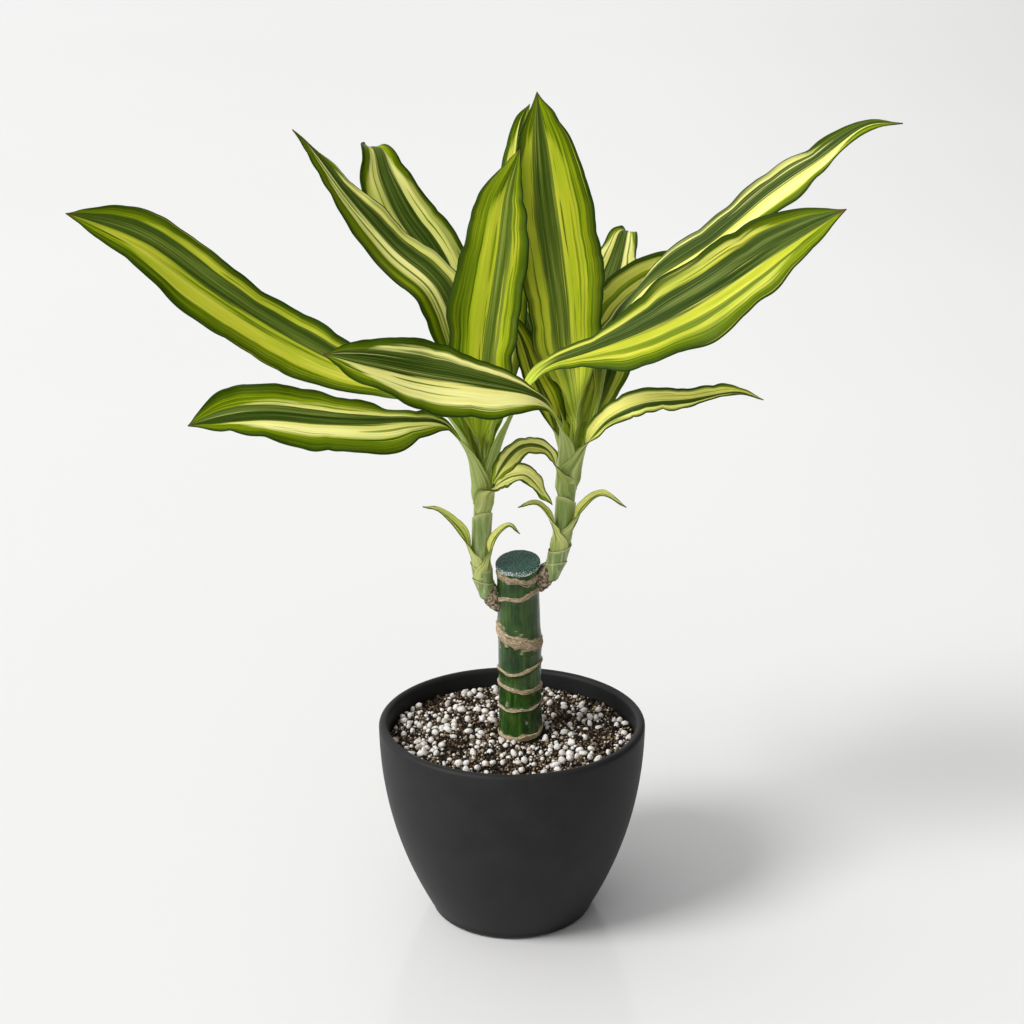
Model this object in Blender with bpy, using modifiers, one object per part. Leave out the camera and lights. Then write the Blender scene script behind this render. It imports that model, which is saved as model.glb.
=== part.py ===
"""Potted corn plant: a stub of cane with two leafy shoots, in a plain round pot.

Metres, +Z up.  The origin is the centre of the pot's flat foot.
"""
import bisect
import math

import bmesh
import bpy
from mathutils import Matrix, Vector

MM = 0.001
GAP = 0.3 * MM                      # clearance between pieces that touch

# pot
POT_HEIGHT = 108 * MM
POT_RIM_RADIUS = 70 * MM
POT_FOOT_RADIUS = 38.5 * MM         # the flat it stands on
POT_BASE_RADIUS = 41.4 * MM         # where the wall's curve would meet the ground
POT_WALL = 5 * MM
POT_FLOOR = 6 * MM
POT_BULGE = 2.15                    # how soon the wall turns upright, 1 is a cone
POT_STEPS = 10
ROUND_STEPS = 40

# soil
SOIL_EDGE_HEIGHT = 98 * MM
SOIL_CROWN = 1.5 * MM               # rise from the wall to the cane

# cane
CANE_FOOT = Vector((5.5, 0, 52)) * MM
CANE_LEAN = math.radians(-1.0)      # leans a little to the left
CANE_LENGTH = 143 * MM              # foot to the middle of the cut
CANE_RADIUS = 11.6 * MM
CANE_STEPS = 34
RING_RISE = 0.7 * MM                # old leaf scars stand proud of the bark
RING_WIDTH = 2.6 * MM
RING_HEIGHTS = [50, 66, 77, 89, 108, 129]      # mm above the cane's foot
CUT_TILT = (math.radians(12), math.radians(-5))  # towards the front, up to the right
CAP_THICKNESS = 1.2 * MM
CAP_RADIUS = 11.2 * MM

# shoots: (x, y, z, radius) in mm along each pseudo-stem, bottom to top
SHOOTS = {
    "left": [(-12.4, 0, 178, 4.2), (-15, 0, 187, 4.6), (-16, 0, 198, 4.5), (-15.2, -1, 218, 4.4),
             (-14.5, -1, 236, 4.6), (-14, 0, 250, 3.2), (-13.5, 1, 264, 1.2)],
    "right": [(19.6, 0, 188, 4.2), (23, 0, 197, 4.6), (25.5, 0, 209, 4.5), (27.2, 0, 226, 4.4),
              (28.6, 0, 244, 4.8), (29.6, 0, 258, 3.4), (30.2, 1, 272, 1.2)],
}
# collars: (start, end) of the corky bud bases between the cane and the shoots, in mm
COLLARS = {"left": ((-5, 0, 169.5), (-11.3, 0, 176.3)), "right": ((12, 0, 180), (18, 0, 186))}
COLLAR_RADIUS = 4.6 * MM

LEAF_THICKNESS = 0.8 * MM
LEAF_BASE_WIDTH = 6 * MM
LEAF_STALK_WIDTH = 9 * MM           # at the top of the narrow stalk that some leaves have
LEAF_STANDOFF = 1.1 * MM            # from the shoot's surface to the middle of a leaf's base
LEAF_RUN = 5 * MM                   # how far a base runs up its shoot
LEAF_OPENING = 0.3                  # share of its length over which a base opens into the blade
LEAF_SEGMENTS = (4, 11)             # across and along a blade
SMALL_LEAF_SEGMENTS = (2, 8)
SMALL_LEAF_WIDTH = 15               # mm, up to here a leaf gets the small count

# leaves: the height where each leaves its shoot (mm) and on which side (degrees from +X), its
# width (mm), where it is widest (0 base, 1 tip), the share of its length that is a narrow stalk,
# the bend across its blade (degrees) and how high its margin waves (mm), then points along its
# midrib (mm) and the way its upper face looks from base to tip
LEAVES = {
    "small_leaf_left_outer": dict(
        shoot="left", at=196, side=205, width=7, widest=0.35, bend=90, wave=0.4,
        midrib=[(-25, -6, 214), (-36, -8, 226), (-45, -8, 228)],
        face=[(0.5, -0.6, 0.6), (0.3, -0.6, 0.8), (0, -0.3, 1)]),
    "small_leaf_left_inner": dict(
        shoot="left", at=190, side=-55, width=7, widest=0.35, bend=90, wave=0.4,
        midrib=[(-10, -9, 210), (-2, -13, 220), (4, -15, 216)],
        face=[(-0.7, -0.6, 0.5), (-0.3, -0.5, 0.8), (0.4, -0.3, 1)]),
    "clasping_leaf_left": dict(
        shoot="left", at=230, side=-60, width=15, widest=0.5, bend=60, wave=0.8,
        midrib=[(-6, -13, 243), (1, -18, 248), (9, -22, 248), (20, -26, 235)],
        face=[(-0.8, -0.4, 0.6), (0, -0.8, 0.7), (0.6, -0.9, 0.4)]),
    "leaf_low_left": dict(
        shoot="left", at=236, side=226, width=36, widest=0.6, stalk=0.14, bend=40, wave=1.2,
        midrib=[(-22, -10, 257), (-33, -15, 273), (-50, -28, 279), (-68, -38, 281), (-91, -46, 284),
                (-118, -54, 288), (-152, -62, 286)],
        face=[(1, 0, 0.6), (0.2, -0.7, 0.8), (-0.1, -0.8, 0.7)]),
    "leaf_long_left": dict(
        shoot="left", at=240, side=174, width=38, widest=0.62, bend=40, wave=1.4,
        midrib=[(-26, 2, 264), (-38, 5, 281), (-60, 8, 290), (-86, 9, 297), (-119, 10, 314),
                (-152, 8, 337), (-181, 5, 359), (-216, 0, 375)],
        face=[(1, -0.2, 0.6), (0.2, -0.8, 0.8), (0.3, -0.8, 0.7)]),
    "leaf_upper_left": dict(
        shoot="left", at=246, side=128, width=34, widest=0.55, bend=50, wave=1.2,
        midrib=[(-23, 13, 275), (-29, 19, 307), (-39, 24, 333), (-60, 29, 351), (-83, 34, 377),
                (-100, 38, 400), (-109, 38, 410)],
        face=[(0.8, -0.5, 0.3), (0.75, -0.2, 0.6), (0.7, 0.0, 0.7)]),
    "leaf_bent_left": dict(
        shoot="left", at=253, side=76, width=32, widest=0.62, bend=50, wave=1.2,
        midrib=[(-14, 29, 280), (-29, 47, 313), (-39, 57, 339), (-55, 63, 361), (-67, 68, 382),
                (-73, 71, 397)],
        face=[(0.5, -0.9, 0.2), (0.8, -0.45, 0.3), (0.9, -0.4, 0.2)]),
    "leaf_back_left": dict(
        shoot="left", at=257, side=25, width=28, widest=0.5, bend=40, wave=1.0,
        midrib=[(-5, 20, 288), (-1, 38, 344), (3, 46, 394), (4, 49, 420)],
        face=[(-0.4, -0.9, 0.2), (-0.2, -1, 0.3), (0, -1, 0.2)]),
    "leaf_upright_left": dict(
        shoot="left", at=256, side=150, width=40, widest=0.45, bend=40, wave=1.0,
        midrib=[(-17, 2, 285), (-16, 3, 308), (-13, 5, 330), (-9, 9, 358), (-5, 13, 382), (4, 15, 404)],
        face=[(-0.2, -1, 0.2), (-0.15, -1, 0.1), (-0.1, -1, 0.1)]),
    "leaf_broad_right": dict(
        shoot="left", at=239, side=-20, width=42, widest=0.66, stalk=0.2, bend=40, wave=1.2,
        midrib=[(-5, -4, 262), (3, -5, 282), (16, -8, 300), (38, -17, 311), (66, -24, 324),
                (97, -28, 342), (126, -30, 363), (157, -28, 382)],
        face=[(-1, 0.2, 0.5), (-0.4, -0.7, 0.8), (-0.3, -0.85, 0.6), (-0.3, -0.8, 0.6)]),
    "small_leaf_right_inner": dict(
        shoot="right", at=206, side=-125, width=7, widest=0.35, bend=90, wave=0.4,
        midrib=[(19, -7, 223), (12, -11, 231), (3, -15, 230)],
        face=[(0.6, -0.6, 0.5), (0.3, -0.4, 0.9), (0, -0.3, 1)]),
    "small_leaf_right_outer": dict(
        shoot="right", at=210, side=-45, width=7, widest=0.35, bend=90, wave=0.4,
        midrib=[(35, -9, 228), (45, -14, 237), (57, -18, 231)],
        face=[(-0.6, -0.6, 0.5), (-0.2, -0.5, 0.9), (0.3, -0.3, 1)]),
    "small_leaf_right_back": dict(
        shoot="right", at=205, side=50, width=5, widest=0.35, bend=80, wave=0.2,
        midrib=[(33, 9, 216), (36, 11, 221)],
        face=[(-0.7, -0.5, 0.5), (-0.5, -0.5, 0.9), (-0.3, -0.3, 1)]),
    "clasping_leaf_right": dict(
        shoot="right", at=238, side=-130, width=15, widest=0.6, bend=60, wave=0.8,
        midrib=[(19, -14, 258), (11, -21, 264), (3, -27, 264), (-4, -33, 258), (-10, -36, 248)],
        face=[(0.8, -0.4, 0.6), (0.1, -0.8, 0.6), (-0.6, -0.9, 0.3)]),
    "leaf_arching_right": dict(
        shoot="right", at=243, side=-58, width=12, widest=0.45, bend=50, wave=1.0,
        midrib=[(38, -10, 264), (48, -14, 277), (65, -19, 286), (87, -23, 289), (108, -26, 293),
                (122, -27, 289)],
        face=[(-0.8, -0.4, 0.6), (-0.2, -0.9, 0.5), (0.1, -0.8, 0.6)]),
    "leaf_front_left": dict(
        shoot="right", at=246, side=-125, width=39, widest=0.6, stalk=0.18, bend=40, wave=1.4,
        midrib=[(25, -15, 268), (19, -26, 284), (8, -35, 294), (-14, -42, 300), (-41, -48, 305),
                (-66, -56, 313), (-88, -60, 320)],
        face=[(1, 0.1, 0.4), (0.4, -0.7, 0.7), (0.1, -0.8, 0.7)]),
    "leaf_long_right": dict(
        shoot="right", at=246, side=0, width=30, widest=0.66, bend=50, wave=1.4,
        midrib=[(43, 0, 281), (49, 9, 310), (66, 14, 335), (98, 15, 357), (126, 14, 381), (150, 12, 399),
                (170, 10, 415), (188, 8, 417)],
        face=[(-1, -0.2, 0.5), (-0.6, -0.5, 0.6), (-0.5, -0.5, 0.8)]),
    "leaf_mid_right": dict(
        shoot="right", at=253, side=57, width=34, widest=0.55, bend=50, wave=1.4,
        midrib=[(44, 11, 287), (51, 26, 313), (66, 35, 328), (91, 42, 339), (115, 46, 352)],
        face=[(-0.8, -0.5, 0.4), (-0.5, -0.8, 0.6), (-0.3, -0.8, 0.7)]),
    "leaf_back_right": dict(
        shoot="right", at=261, side=112, width=34, widest=0.5, bend=50, wave=1.2,
        midrib=[(33, 32, 289), (46, 58, 316), (56, 84, 336), (62, 106, 348)],
        face=[(-0.3, -1, 0.4), (-0.2, -0.8, 0.8), (-0.1, -0.6, 1)]),
    "leaf_inner_back": dict(
        shoot="right", at=257, side=135, width=32, widest=0.5, bend=50, wave=1.0,
        midrib=[(24, 22, 276), (15, 40, 296), (8, 56, 311), (2, 70, 322)],
        face=[(0.4, -0.9, 0.4), (0.3, -0.7, 0.8), (0.2, -0.6, 0.9)]),
    "leaf_inner_left": dict(
        shoot="right", at=250, side=203, width=20, widest=0.5, bend=60, wave=0.8,
        midrib=[(20, 1, 275), (12, 8, 291), (5, 14, 310), (-5, 19, 326)],
        face=[(0.9, -0.6, 0.5), (0.7, -0.7, 0.6), (0.6, -0.6, 0.8)]),
    "leaf_tall_centre": dict(
        shoot="right", at=264, side=25, width=42, widest=0.55, bend=35, wave=1.0,
        midrib=[(31, 8, 285), (28, 9, 306), (26, 12, 331), (22, 16, 361), (17, 18, 395), (12, 16, 431)],
        face=[(0, -1, 0.2), (0, -1, 0.1), (-0.05, -1, 0.1)]),
}
PATH_STEPS = 60                     # even steps that a midrib is read in


def clear_scene():
    for old in list(bpy.data.objects):
        bpy.data.objects.remove(old, do_unlink=True)
    for old in list(bpy.data.collections):
        bpy.data.collections.remove(old)


def new_collection(name):
    collection = bpy.data.collections.new(name)
    bpy.context.scene.collection.children.link(collection)
    return collection


def material(name, colour, roughness, metallic=0.0):
    finish = bpy.data.materials.new(name)
    finish.use_nodes = True
    shader = finish.node_tree.nodes["Principled BSDF"]
    shader.inputs["Base Color"].default_value = (*colour, 1)
    shader.inputs["Roughness"].default_value = roughness
    shader.inputs["Metallic"].default_value = metallic
    return finish


def add_object(name, data, collection, finish=None):
    piece = bpy.data.objects.new(name, data)
    collection.objects.link(piece)
    if finish:
        data.materials.append(finish)
    return piece


def turned(name, profile, collection, finish, steps=ROUND_STEPS):
    """Spin a profile of (radius, height), which runs down the outer side, about Z."""
    mesh = bpy.data.meshes.new(name)
    form = bmesh.new()
    verts = [form.verts.new((radius, 0, height)) for radius, height in profile]
    for upper, lower in zip(verts, verts[1:]):
        form.edges.new((upper, lower))
    form.to_mesh(mesh)
    form.free()
    piece = add_object(name, mesh, collection, finish)
    screw = piece.modifiers.new("turn", "SCREW")
    screw.steps = screw.render_steps = steps
    screw.use_merge_vertices = True
    screw.merge_threshold = 0.00005
    screw.use_smooth_shade = True
    return piece


def cut(piece, cutter):
    boolean = piece.modifiers.new("cut", "BOOLEAN")
    boolean.operation = "DIFFERENCE"
    boolean.solver = "EXACT"
    boolean.object = cutter


def as_cutter(cutter):
    cutter.hide_render = True
    cutter.display_type = "WIRE"
    return cutter


def catmull(points, t):
    """A point on the smooth curve through the points, t from 0 to 1."""
    spans = len(points) - 1
    span = min(int(t * spans), spans - 1)
    u = t * spans - span
    p1, p2 = points[span], points[span + 1]
    p0 = points[span - 1] if span > 0 else p1 * 2 - p2
    p3 = points[span + 2] if span + 2 <= spans else p2 * 2 - p1
    return 0.5 * (2 * p1 + (p2 - p0) * u + (2 * p0 - 5 * p1 + 4 * p2 - p3) * u * u
                  + (3 * p1 - p0 - 3 * p2 + p3) * u ** 3)


def mix(values, t):
    """Run evenly through a list of values, t from 0 to 1."""
    spans = len(values) - 1
    span = min(int(t * spans), spans - 1)
    u = t * spans - span
    return values[span] * (1 - u) + values[span + 1] * u


def smoothstep(t):
    t = max(0.0, min(1.0, t))
    return t * t * (3 - 2 * t)


# ---------------------------------------------------------------- pot and soil

def wall_radius(height):
    """Outer radius of the pot at a height: a cone whose wall turns upright near the rim."""
    rise = height / POT_HEIGHT
    spread = 1 - (1 - rise) ** POT_BULGE
    return POT_BASE_RADIUS + (POT_RIM_RADIUS - POT_BASE_RADIUS) * spread


def build_pot(collection):
    lip = POT_WALL / 2
    top = POT_HEIGHT - lip
    foot = 3 * MM
    outer = []
    for step in range(7):
        angle = math.pi * step / 6
        outer.append((POT_RIM_RADIUS - lip - lip * math.cos(angle), top + lip * math.sin(angle)))
    for step in range(1, POT_STEPS + 1):
        height = top + (foot - top) * step / POT_STEPS
        outer.append((wall_radius(height), height))
    outer.append((POT_FOOT_RADIUS + 2.2 * MM, 1 * MM))
    outer.append((POT_FOOT_RADIUS, 0))
    outer.append((0, 0))
    inner = [(0, POT_FLOOR)]
    for step in range(POT_STEPS + 1):
        height = POT_FLOOR + (top - POT_FLOOR) * step / (POT_STEPS + 1)
        inner.append((wall_radius(height) - POT_WALL, height))
    profile = [*outer, *inner, outer[0]]
    finish = material("pot_matte_black", (0.018, 0.018, 0.019), 0.5)
    return turned("pot", profile, collection, finish)


def build_soil(collection, cane_room):
    floor = POT_FLOOR + GAP
    profile = [(0, SOIL_EDGE_HEIGHT + SOIL_CROWN), (30 * MM, SOIL_EDGE_HEIGHT + SOIL_CROWN * 0.7)]
    for step in range(9):
        height = SOIL_EDGE_HEIGHT + (floor - SOIL_EDGE_HEIGHT) * step / 8
        profile.append((wall_radius(height) - POT_WALL - 0.6 * MM, height))
    profile.append((0, floor))
    soil = turned("soil", profile, collection, material("potting_soil", (0.06, 0.04, 0.028), 0.95))
    cut(soil, cane_room)
    return soil


def build_cane_room(collection):
    """The room that the cane takes in the soil and in the collars."""
    room = bmesh.new()
    radius = CANE_RADIUS + RING_RISE + GAP
    length = CANE_LENGTH * 1.2
    bmesh.ops.create_cone(room, cap_ends=True, segments=32, radius1=radius, radius2=radius, depth=length)
    bmesh.ops.translate(room, verts=room.verts, vec=(0, 0, length / 2 - GAP))
    mesh = bpy.data.meshes.new("cane_room")
    room.to_mesh(mesh)
    room.free()
    cutter = as_cutter(add_object("cane_room", mesh, collection))
    cutter.location = CANE_FOOT
    cutter.rotation_euler = (0, CANE_LEAN, 0)
    return cutter


# ---------------------------------------------------------------- cane, cap and collars

def ring_swell(height):
    swell = 0
    for ring in RING_HEIGHTS:
        distance = (height - ring * MM) / RING_WIDTH
        swell += RING_RISE * math.exp(-distance * distance)
    return swell


def build_cane_cutter(collection, cut_point):
    saw = bmesh.new()
    size = CANE_RADIUS * 4
    bmesh.ops.create_cube(saw, size=size)
    bmesh.ops.translate(saw, verts=saw.verts, vec=(0, 0, size / 2))
    mesh = bpy.data.meshes.new("cane_saw")
    saw.to_mesh(mesh)
    saw.free()
    cutter = as_cutter(add_object("cane_saw", mesh, collection))
    cutter.location = cut_point
    cutter.rotation_euler = (CUT_TILT[0], CUT_TILT[1], 0)
    return cutter


def build_cane(collection, cutters):
    length = CANE_LENGTH + 4 * MM
    profile = [(0, length)]
    for step in range(CANE_STEPS + 1):
        height = length * (1 - step / CANE_STEPS)
        taper = CANE_RADIUS - 0.6 * MM * height / length
        profile.append((taper + ring_swell(height), height))
    profile.append((0, 0))
    cane = turned("cane", profile, collection, material("cane_bark", (0.05, 0.09, 0.035), 0.4), 26)
    cane.location = CANE_FOOT
    cane.rotation_euler = (0, CANE_LEAN, 0)
    up = Matrix.Rotation(CANE_LEAN, 3, "Y") @ Vector((0, 0, 1))
    cut_point = CANE_FOOT + up * CANE_LENGTH
    cut(cane, build_cane_cutter(cutters, cut_point))
    return cut_point


def build_cap(collection, cut_point):
    disc = bmesh.new()
    bmesh.ops.create_cone(disc, cap_ends=True, segments=40, radius1=CAP_RADIUS, radius2=CAP_RADIUS,
                          depth=CAP_THICKNESS)
    bmesh.ops.translate(disc, verts=disc.verts, vec=(0, 0, CAP_THICKNESS / 2 + GAP))
    mesh = bpy.data.meshes.new("wax_cap")
    disc.to_mesh(mesh)
    disc.free()
    cap = add_object("wax_cap", mesh, collection, material("green_wax", (0.03, 0.17, 0.15), 0.45))
    cap.location = cut_point
    cap.rotation_euler = (CUT_TILT[0], CUT_TILT[1], 0)
    bevel = cap.modifiers.new("soft_edge", "BEVEL")
    bevel.width = 0.4 * MM
    bevel.segments = 2
    bevel.limit_method = "ANGLE"
    return cap


def tube(name, points, radii, collection, finish, resolution):
    """A round tube through the points, with a radius at each."""
    curve = bpy.data.curves.new(name, "CURVE")
    curve.dimensions = "3D"
    curve.bevel_depth = 1
    curve.bevel_resolution = resolution
    curve.use_fill_caps = True
    spline = curve.splines.new("POLY")
    spline.points.add(len(points) - 1)
    for control, point, radius in zip(spline.points, points, radii):
        control.co = (*point, 1)
        control.radius = radius
    spline.use_smooth = True
    return add_object(name, curve, collection, finish)


def build_collar(side, collection, cane_room):
    """The corky base that a shoot grows from, hollowed to the round of the cane."""
    start, end = [Vector(point) * MM for point in COLLARS[side]]
    along = end - start
    knob = bmesh.new()
    bmesh.ops.create_cone(knob, cap_ends=True, segments=18, radius1=COLLAR_RADIUS * 1.1,
                          radius2=COLLAR_RADIUS, depth=along.length)
    turn = along.to_track_quat("Z", "Y").to_matrix()
    bmesh.ops.rotate(knob, verts=knob.verts, cent=(0, 0, 0), matrix=turn)
    mesh = bpy.data.meshes.new("bud_collar_" + side)
    knob.to_mesh(mesh)
    knob.free()
    collar = add_object(mesh.name, mesh, collection, material(mesh.name, (0.14, 0.09, 0.05), 0.9))
    collar.location = (start + end) / 2
    cut(collar, cane_room)
    return collar


# ---------------------------------------------------------------- shoots and leaves

def shoot_curve(side):
    points = [Vector(row[:3]) * MM for row in SHOOTS[side]]
    radii = [row[3] * MM for row in SHOOTS[side]]
    return points, radii


def shoot_at(side, height):
    """The centre and radius of a shoot at a height."""
    points, radii = shoot_curve(side)
    for low, high, r_low, r_high in zip(points, points[1:], radii, radii[1:]):
        if height <= high.z:
            part = (height - low.z) / (high.z - low.z)
            return low.lerp(high, part), r_low + (r_high - r_low) * part
    return points[-1], radii[-1]


def build_shoot(side, collection):
    points, radii = shoot_curve(side)
    steps = 14
    path = [catmull(points, step / steps) for step in range(steps + 1)]
    sizes = [mix(radii, step / steps) for step in range(steps + 1)]
    finish = material("shoot_" + side, (0.32, 0.42, 0.14), 0.5)
    return tube("shoot_" + side, path, sizes, collection, finish, 4)


def even_steps(points, steps):
    """The smooth curve through the points, read at even distances."""
    fine = [catmull(points, step / (steps * 4)) for step in range(steps * 4 + 1)]
    reach = [0.0]
    for here, there in zip(fine, fine[1:]):
        reach.append(reach[-1] + (there - here).length)
    even = []
    for step in range(steps + 1):
        goal = reach[-1] * step / steps
        place = min(bisect.bisect_left(reach, goal), len(fine) - 1)
        before = max(place - 1, 0)
        span = reach[place] - reach[before]
        part = (goal - reach[before]) / span if span else 0
        even.append(fine[before].lerp(fine[place], part))
    return even


def side_of(leaf):
    """The way out of the shoot to the side that the leaf grows on."""
    angle = math.radians(leaf["side"])
    return Vector((math.cos(angle), math.sin(angle), 0))


def leaf_path(leaf):
    """The midrib: up the shoot's surface for a little, then through the leaf's own points."""
    free = [Vector(point) * MM for point in leaf["midrib"]]
    centre, radius = shoot_at(leaf["shoot"], leaf["at"] * MM)
    above, radius_above = shoot_at(leaf["shoot"], leaf["at"] * MM + LEAF_RUN)
    outward = side_of(leaf)
    start = centre + outward * (radius + LEAF_STANDOFF)
    clear = above + outward * (radius_above + 3 * LEAF_STANDOFF)
    return even_steps([start, clear, *free], PATH_STEPS)


def leaf_width(leaf, s):
    """Width along the leaf: a narrow clasping base, a broad blade, a drawn-out tip."""
    full = leaf["width"] * MM
    widest = leaf["widest"]
    stalk = leaf.get("stalk", 0)
    neck = LEAF_BASE_WIDTH + (LEAF_STALK_WIDTH - LEAF_BASE_WIDTH) * min(1, s / stalk if stalk else 0)
    if s < widest:
        return neck + (full - neck) * smoothstep((s - stalk) / (widest - stalk))
    run = (s - widest) / (1 - widest)
    return full * (1 - 0.97 * run ** 1.9)


def leaf_point(leaf, path, u, s):
    """The leaf's middle surface: u across from -1 to 1, s along from 0 to 1."""
    forward = (mix(path, min(1, s + 0.02)) - mix(path, max(0, s - 0.02))).normalized()
    opening = smoothstep(s / LEAF_OPENING)
    blade_face = mix([Vector(direction) for direction in leaf["face"]], s)
    face = side_of(leaf) * (opening - 1) + blade_face.normalized() * opening
    up = (face - forward * face.dot(forward)).normalized()
    side = forward.cross(up)
    half = leaf_width(leaf, s) / 2
    _, shoot_radius = shoot_at(leaf["shoot"], leaf["at"] * MM)
    base_bend = LEAF_BASE_WIDTH / (shoot_radius + LEAF_STANDOFF)
    bend = base_bend + (math.radians(leaf["bend"]) - base_bend) * opening
    radius = 2 * half / bend
    angle = u * bend / 2
    sag = radius * (1 - math.cos(bend / 2)) / 2 * opening
    ripple = leaf["wave"] * MM * abs(u) ** 3 * opening * math.sin(18 * s + 1.5 * u)
    return mix(path, s) + side * radius * math.sin(angle) + up * (radius * (1 - math.cos(angle)) - sag + ripple)


def build_leaf(name, leaf, collection):
    path = leaf_path(leaf)
    blade = bmesh.new()
    across, along = SMALL_LEAF_SEGMENTS if leaf["width"] < SMALL_LEAF_WIDTH else LEAF_SEGMENTS
    bmesh.ops.create_grid(blade, x_segments=across, y_segments=along, size=1)
    for vert in blade.verts:
        vert.co = leaf_point(leaf, path, vert.co.x, (vert.co.y + 1) / 2)
    mesh = bpy.data.meshes.new(name)
    blade.to_mesh(mesh)
    blade.free()
    mesh.shade_smooth()
    piece = add_object(name, mesh, collection, material(name, (0.3, 0.42, 0.04), 0.4))
    shell = piece.modifiers.new("thickness", "SOLIDIFY")
    shell.thickness = LEAF_THICKNESS
    shell.offset = 0
    return piece


def main():
    clear_scene()
    plant = new_collection("potted_corn_plant")
    cutters = new_collection("cutters")
    build_pot(plant)
    cane_room = build_cane_room(cutters)
    build_soil(plant, cane_room)
    cut_point = build_cane(plant, cutters)
    build_cap(plant, cut_point)
    for side in SHOOTS:
        build_collar(side, plant, cane_room)
        build_shoot(side, plant)
    for name, leaf in LEAVES.items():
        build_leaf(name, leaf, plant)


main()
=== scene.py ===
import math
import random

import bmesh
import bpy
from mathutils import Matrix, Vector, noise


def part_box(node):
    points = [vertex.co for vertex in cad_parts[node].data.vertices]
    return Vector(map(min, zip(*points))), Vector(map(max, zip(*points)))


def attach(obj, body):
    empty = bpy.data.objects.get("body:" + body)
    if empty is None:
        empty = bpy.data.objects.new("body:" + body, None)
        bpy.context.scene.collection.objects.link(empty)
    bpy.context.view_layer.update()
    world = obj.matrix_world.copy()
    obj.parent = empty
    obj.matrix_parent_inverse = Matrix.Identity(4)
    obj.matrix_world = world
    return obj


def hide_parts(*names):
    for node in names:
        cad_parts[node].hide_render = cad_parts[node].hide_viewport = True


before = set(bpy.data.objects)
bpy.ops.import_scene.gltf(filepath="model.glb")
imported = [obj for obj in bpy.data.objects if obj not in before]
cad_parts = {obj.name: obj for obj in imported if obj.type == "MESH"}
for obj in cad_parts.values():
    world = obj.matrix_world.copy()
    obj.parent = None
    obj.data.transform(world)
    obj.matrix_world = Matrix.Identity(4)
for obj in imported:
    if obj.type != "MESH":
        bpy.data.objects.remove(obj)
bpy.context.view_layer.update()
mm = 0.001


# small helpers

def smooth(t):
    t = max(0.0, min(1.0, t))
    return t * t * (3 - 2 * t)


def blendList(values, t):
    spans = len(values) - 1
    span = min(int(t * spans), spans - 1)
    part = t * spans - span
    return values[span] * (1 - part) + values[span + 1] * part


def curvePoint(points, t):
    # a point on the smooth curve through the points
    spans = len(points) - 1
    span = min(int(t * spans), spans - 1)
    u = t * spans - span
    p1, p2 = points[span], points[span + 1]
    p0 = points[span - 1] if span > 0 else p1 * 2 - p2
    p3 = points[span + 2] if span + 2 <= spans else p2 * 2 - p1
    return 0.5 * (2 * p1 + (p2 - p0) * u + (2 * p0 - 5 * p1 + 4 * p2 - p3) * u * u
                  + (3 * p1 - p0 - 3 * p2 + p3) * u ** 3)


def evenSteps(points, steps):
    # the same curve read at even distances
    fine = [curvePoint(points, i / (steps * 4)) for i in range(steps * 4 + 1)]
    reach = [0.0]
    for here, there in zip(fine, fine[1:]):
        reach.append(reach[-1] + (there - here).length)
    even, place = [], 0
    for i in range(steps + 1):
        goal = reach[-1] * i / steps
        while place < len(reach) - 2 and reach[place + 1] < goal:
            place += 1
        span = reach[place + 1] - reach[place]
        even.append(fine[place].lerp(fine[place + 1], min(1, (goal - reach[place]) / span)))
    return even, reach[-1]


def grey(value):
    return (value,) * 3


def pieceName(node):
    words = node.split("_")
    return words[0] + "".join(word.capitalize() for word in words[1:])


def wobble(t, seed):
    return noise.noise(Vector((t, seed * 7.31, seed * 3.7)))


def addPiece(name, bm, materials, nodes=()):
    mesh = bpy.data.meshes.new(name)
    bm.to_mesh(mesh)
    bm.free()
    for material in materials:
        mesh.materials.append(material)
    mesh.shade_smooth()
    piece = bpy.data.objects.new(name, mesh)
    bpy.context.scene.collection.objects.link(piece)
    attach(piece, "root")
    if nodes:
        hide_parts(*nodes)
    return piece


def addSolidify(piece, thickness, underSlot=0):
    shell = piece.modifiers.new("thickness", "SOLIDIFY")
    shell.thickness = thickness
    shell.offset = 0
    shell.material_offset = underSlot
    return shell


def spinProfile(profile, steps):
    # turn a profile of (radius, height) about Z
    bm = bmesh.new()
    verts = [bm.verts.new((radius, 0, height)) for radius, height in profile]
    edges = [bm.edges.new(pair) for pair in zip(verts, verts[1:])]
    bmesh.ops.spin(bm, geom=verts + edges, cent=(0, 0, 0), axis=(0, 0, 1), angle=math.tau,
                   steps=steps, use_merge=True)
    bmesh.ops.remove_doubles(bm, verts=bm.verts, dist=0.00001)
    bmesh.ops.recalc_face_normals(bm, faces=bm.faces)
    return bm


# material helpers

def newMaterial(name, roughness, specular=0.5):
    material = bpy.data.materials.new(name)
    material.use_nodes = True
    shader = material.node_tree.nodes["Principled BSDF"]
    shader.inputs["Roughness"].default_value = roughness
    shader.inputs["Specular IOR Level"].default_value = specular
    return material, material.node_tree, shader


def addNode(tree, kind, **settings):
    node = tree.nodes.new(kind)
    for key, value in settings.items():
        setattr(node, key, value)
    return node


def mathNode(tree, operation, first, second=None, clamp=False):
    node = addNode(tree, "ShaderNodeMath", operation=operation, use_clamp=clamp)
    for socket, value in zip(node.inputs, (first, second)):
        if value is None:
            continue
        if isinstance(value, (int, float)):
            socket.default_value = value
        else:
            tree.links.new(value, socket)
    return node.outputs[0]


def plus(tree, first, second, clamp=False):
    return mathNode(tree, "ADD", first, second, clamp)


def times(tree, first, second):
    return mathNode(tree, "MULTIPLY", first, second)


def spread(tree, noiseValue, amount):
    # noise made to swing about zero
    return times(tree, mathNode(tree, "SUBTRACT", noiseValue, 0.5), amount)


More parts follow.
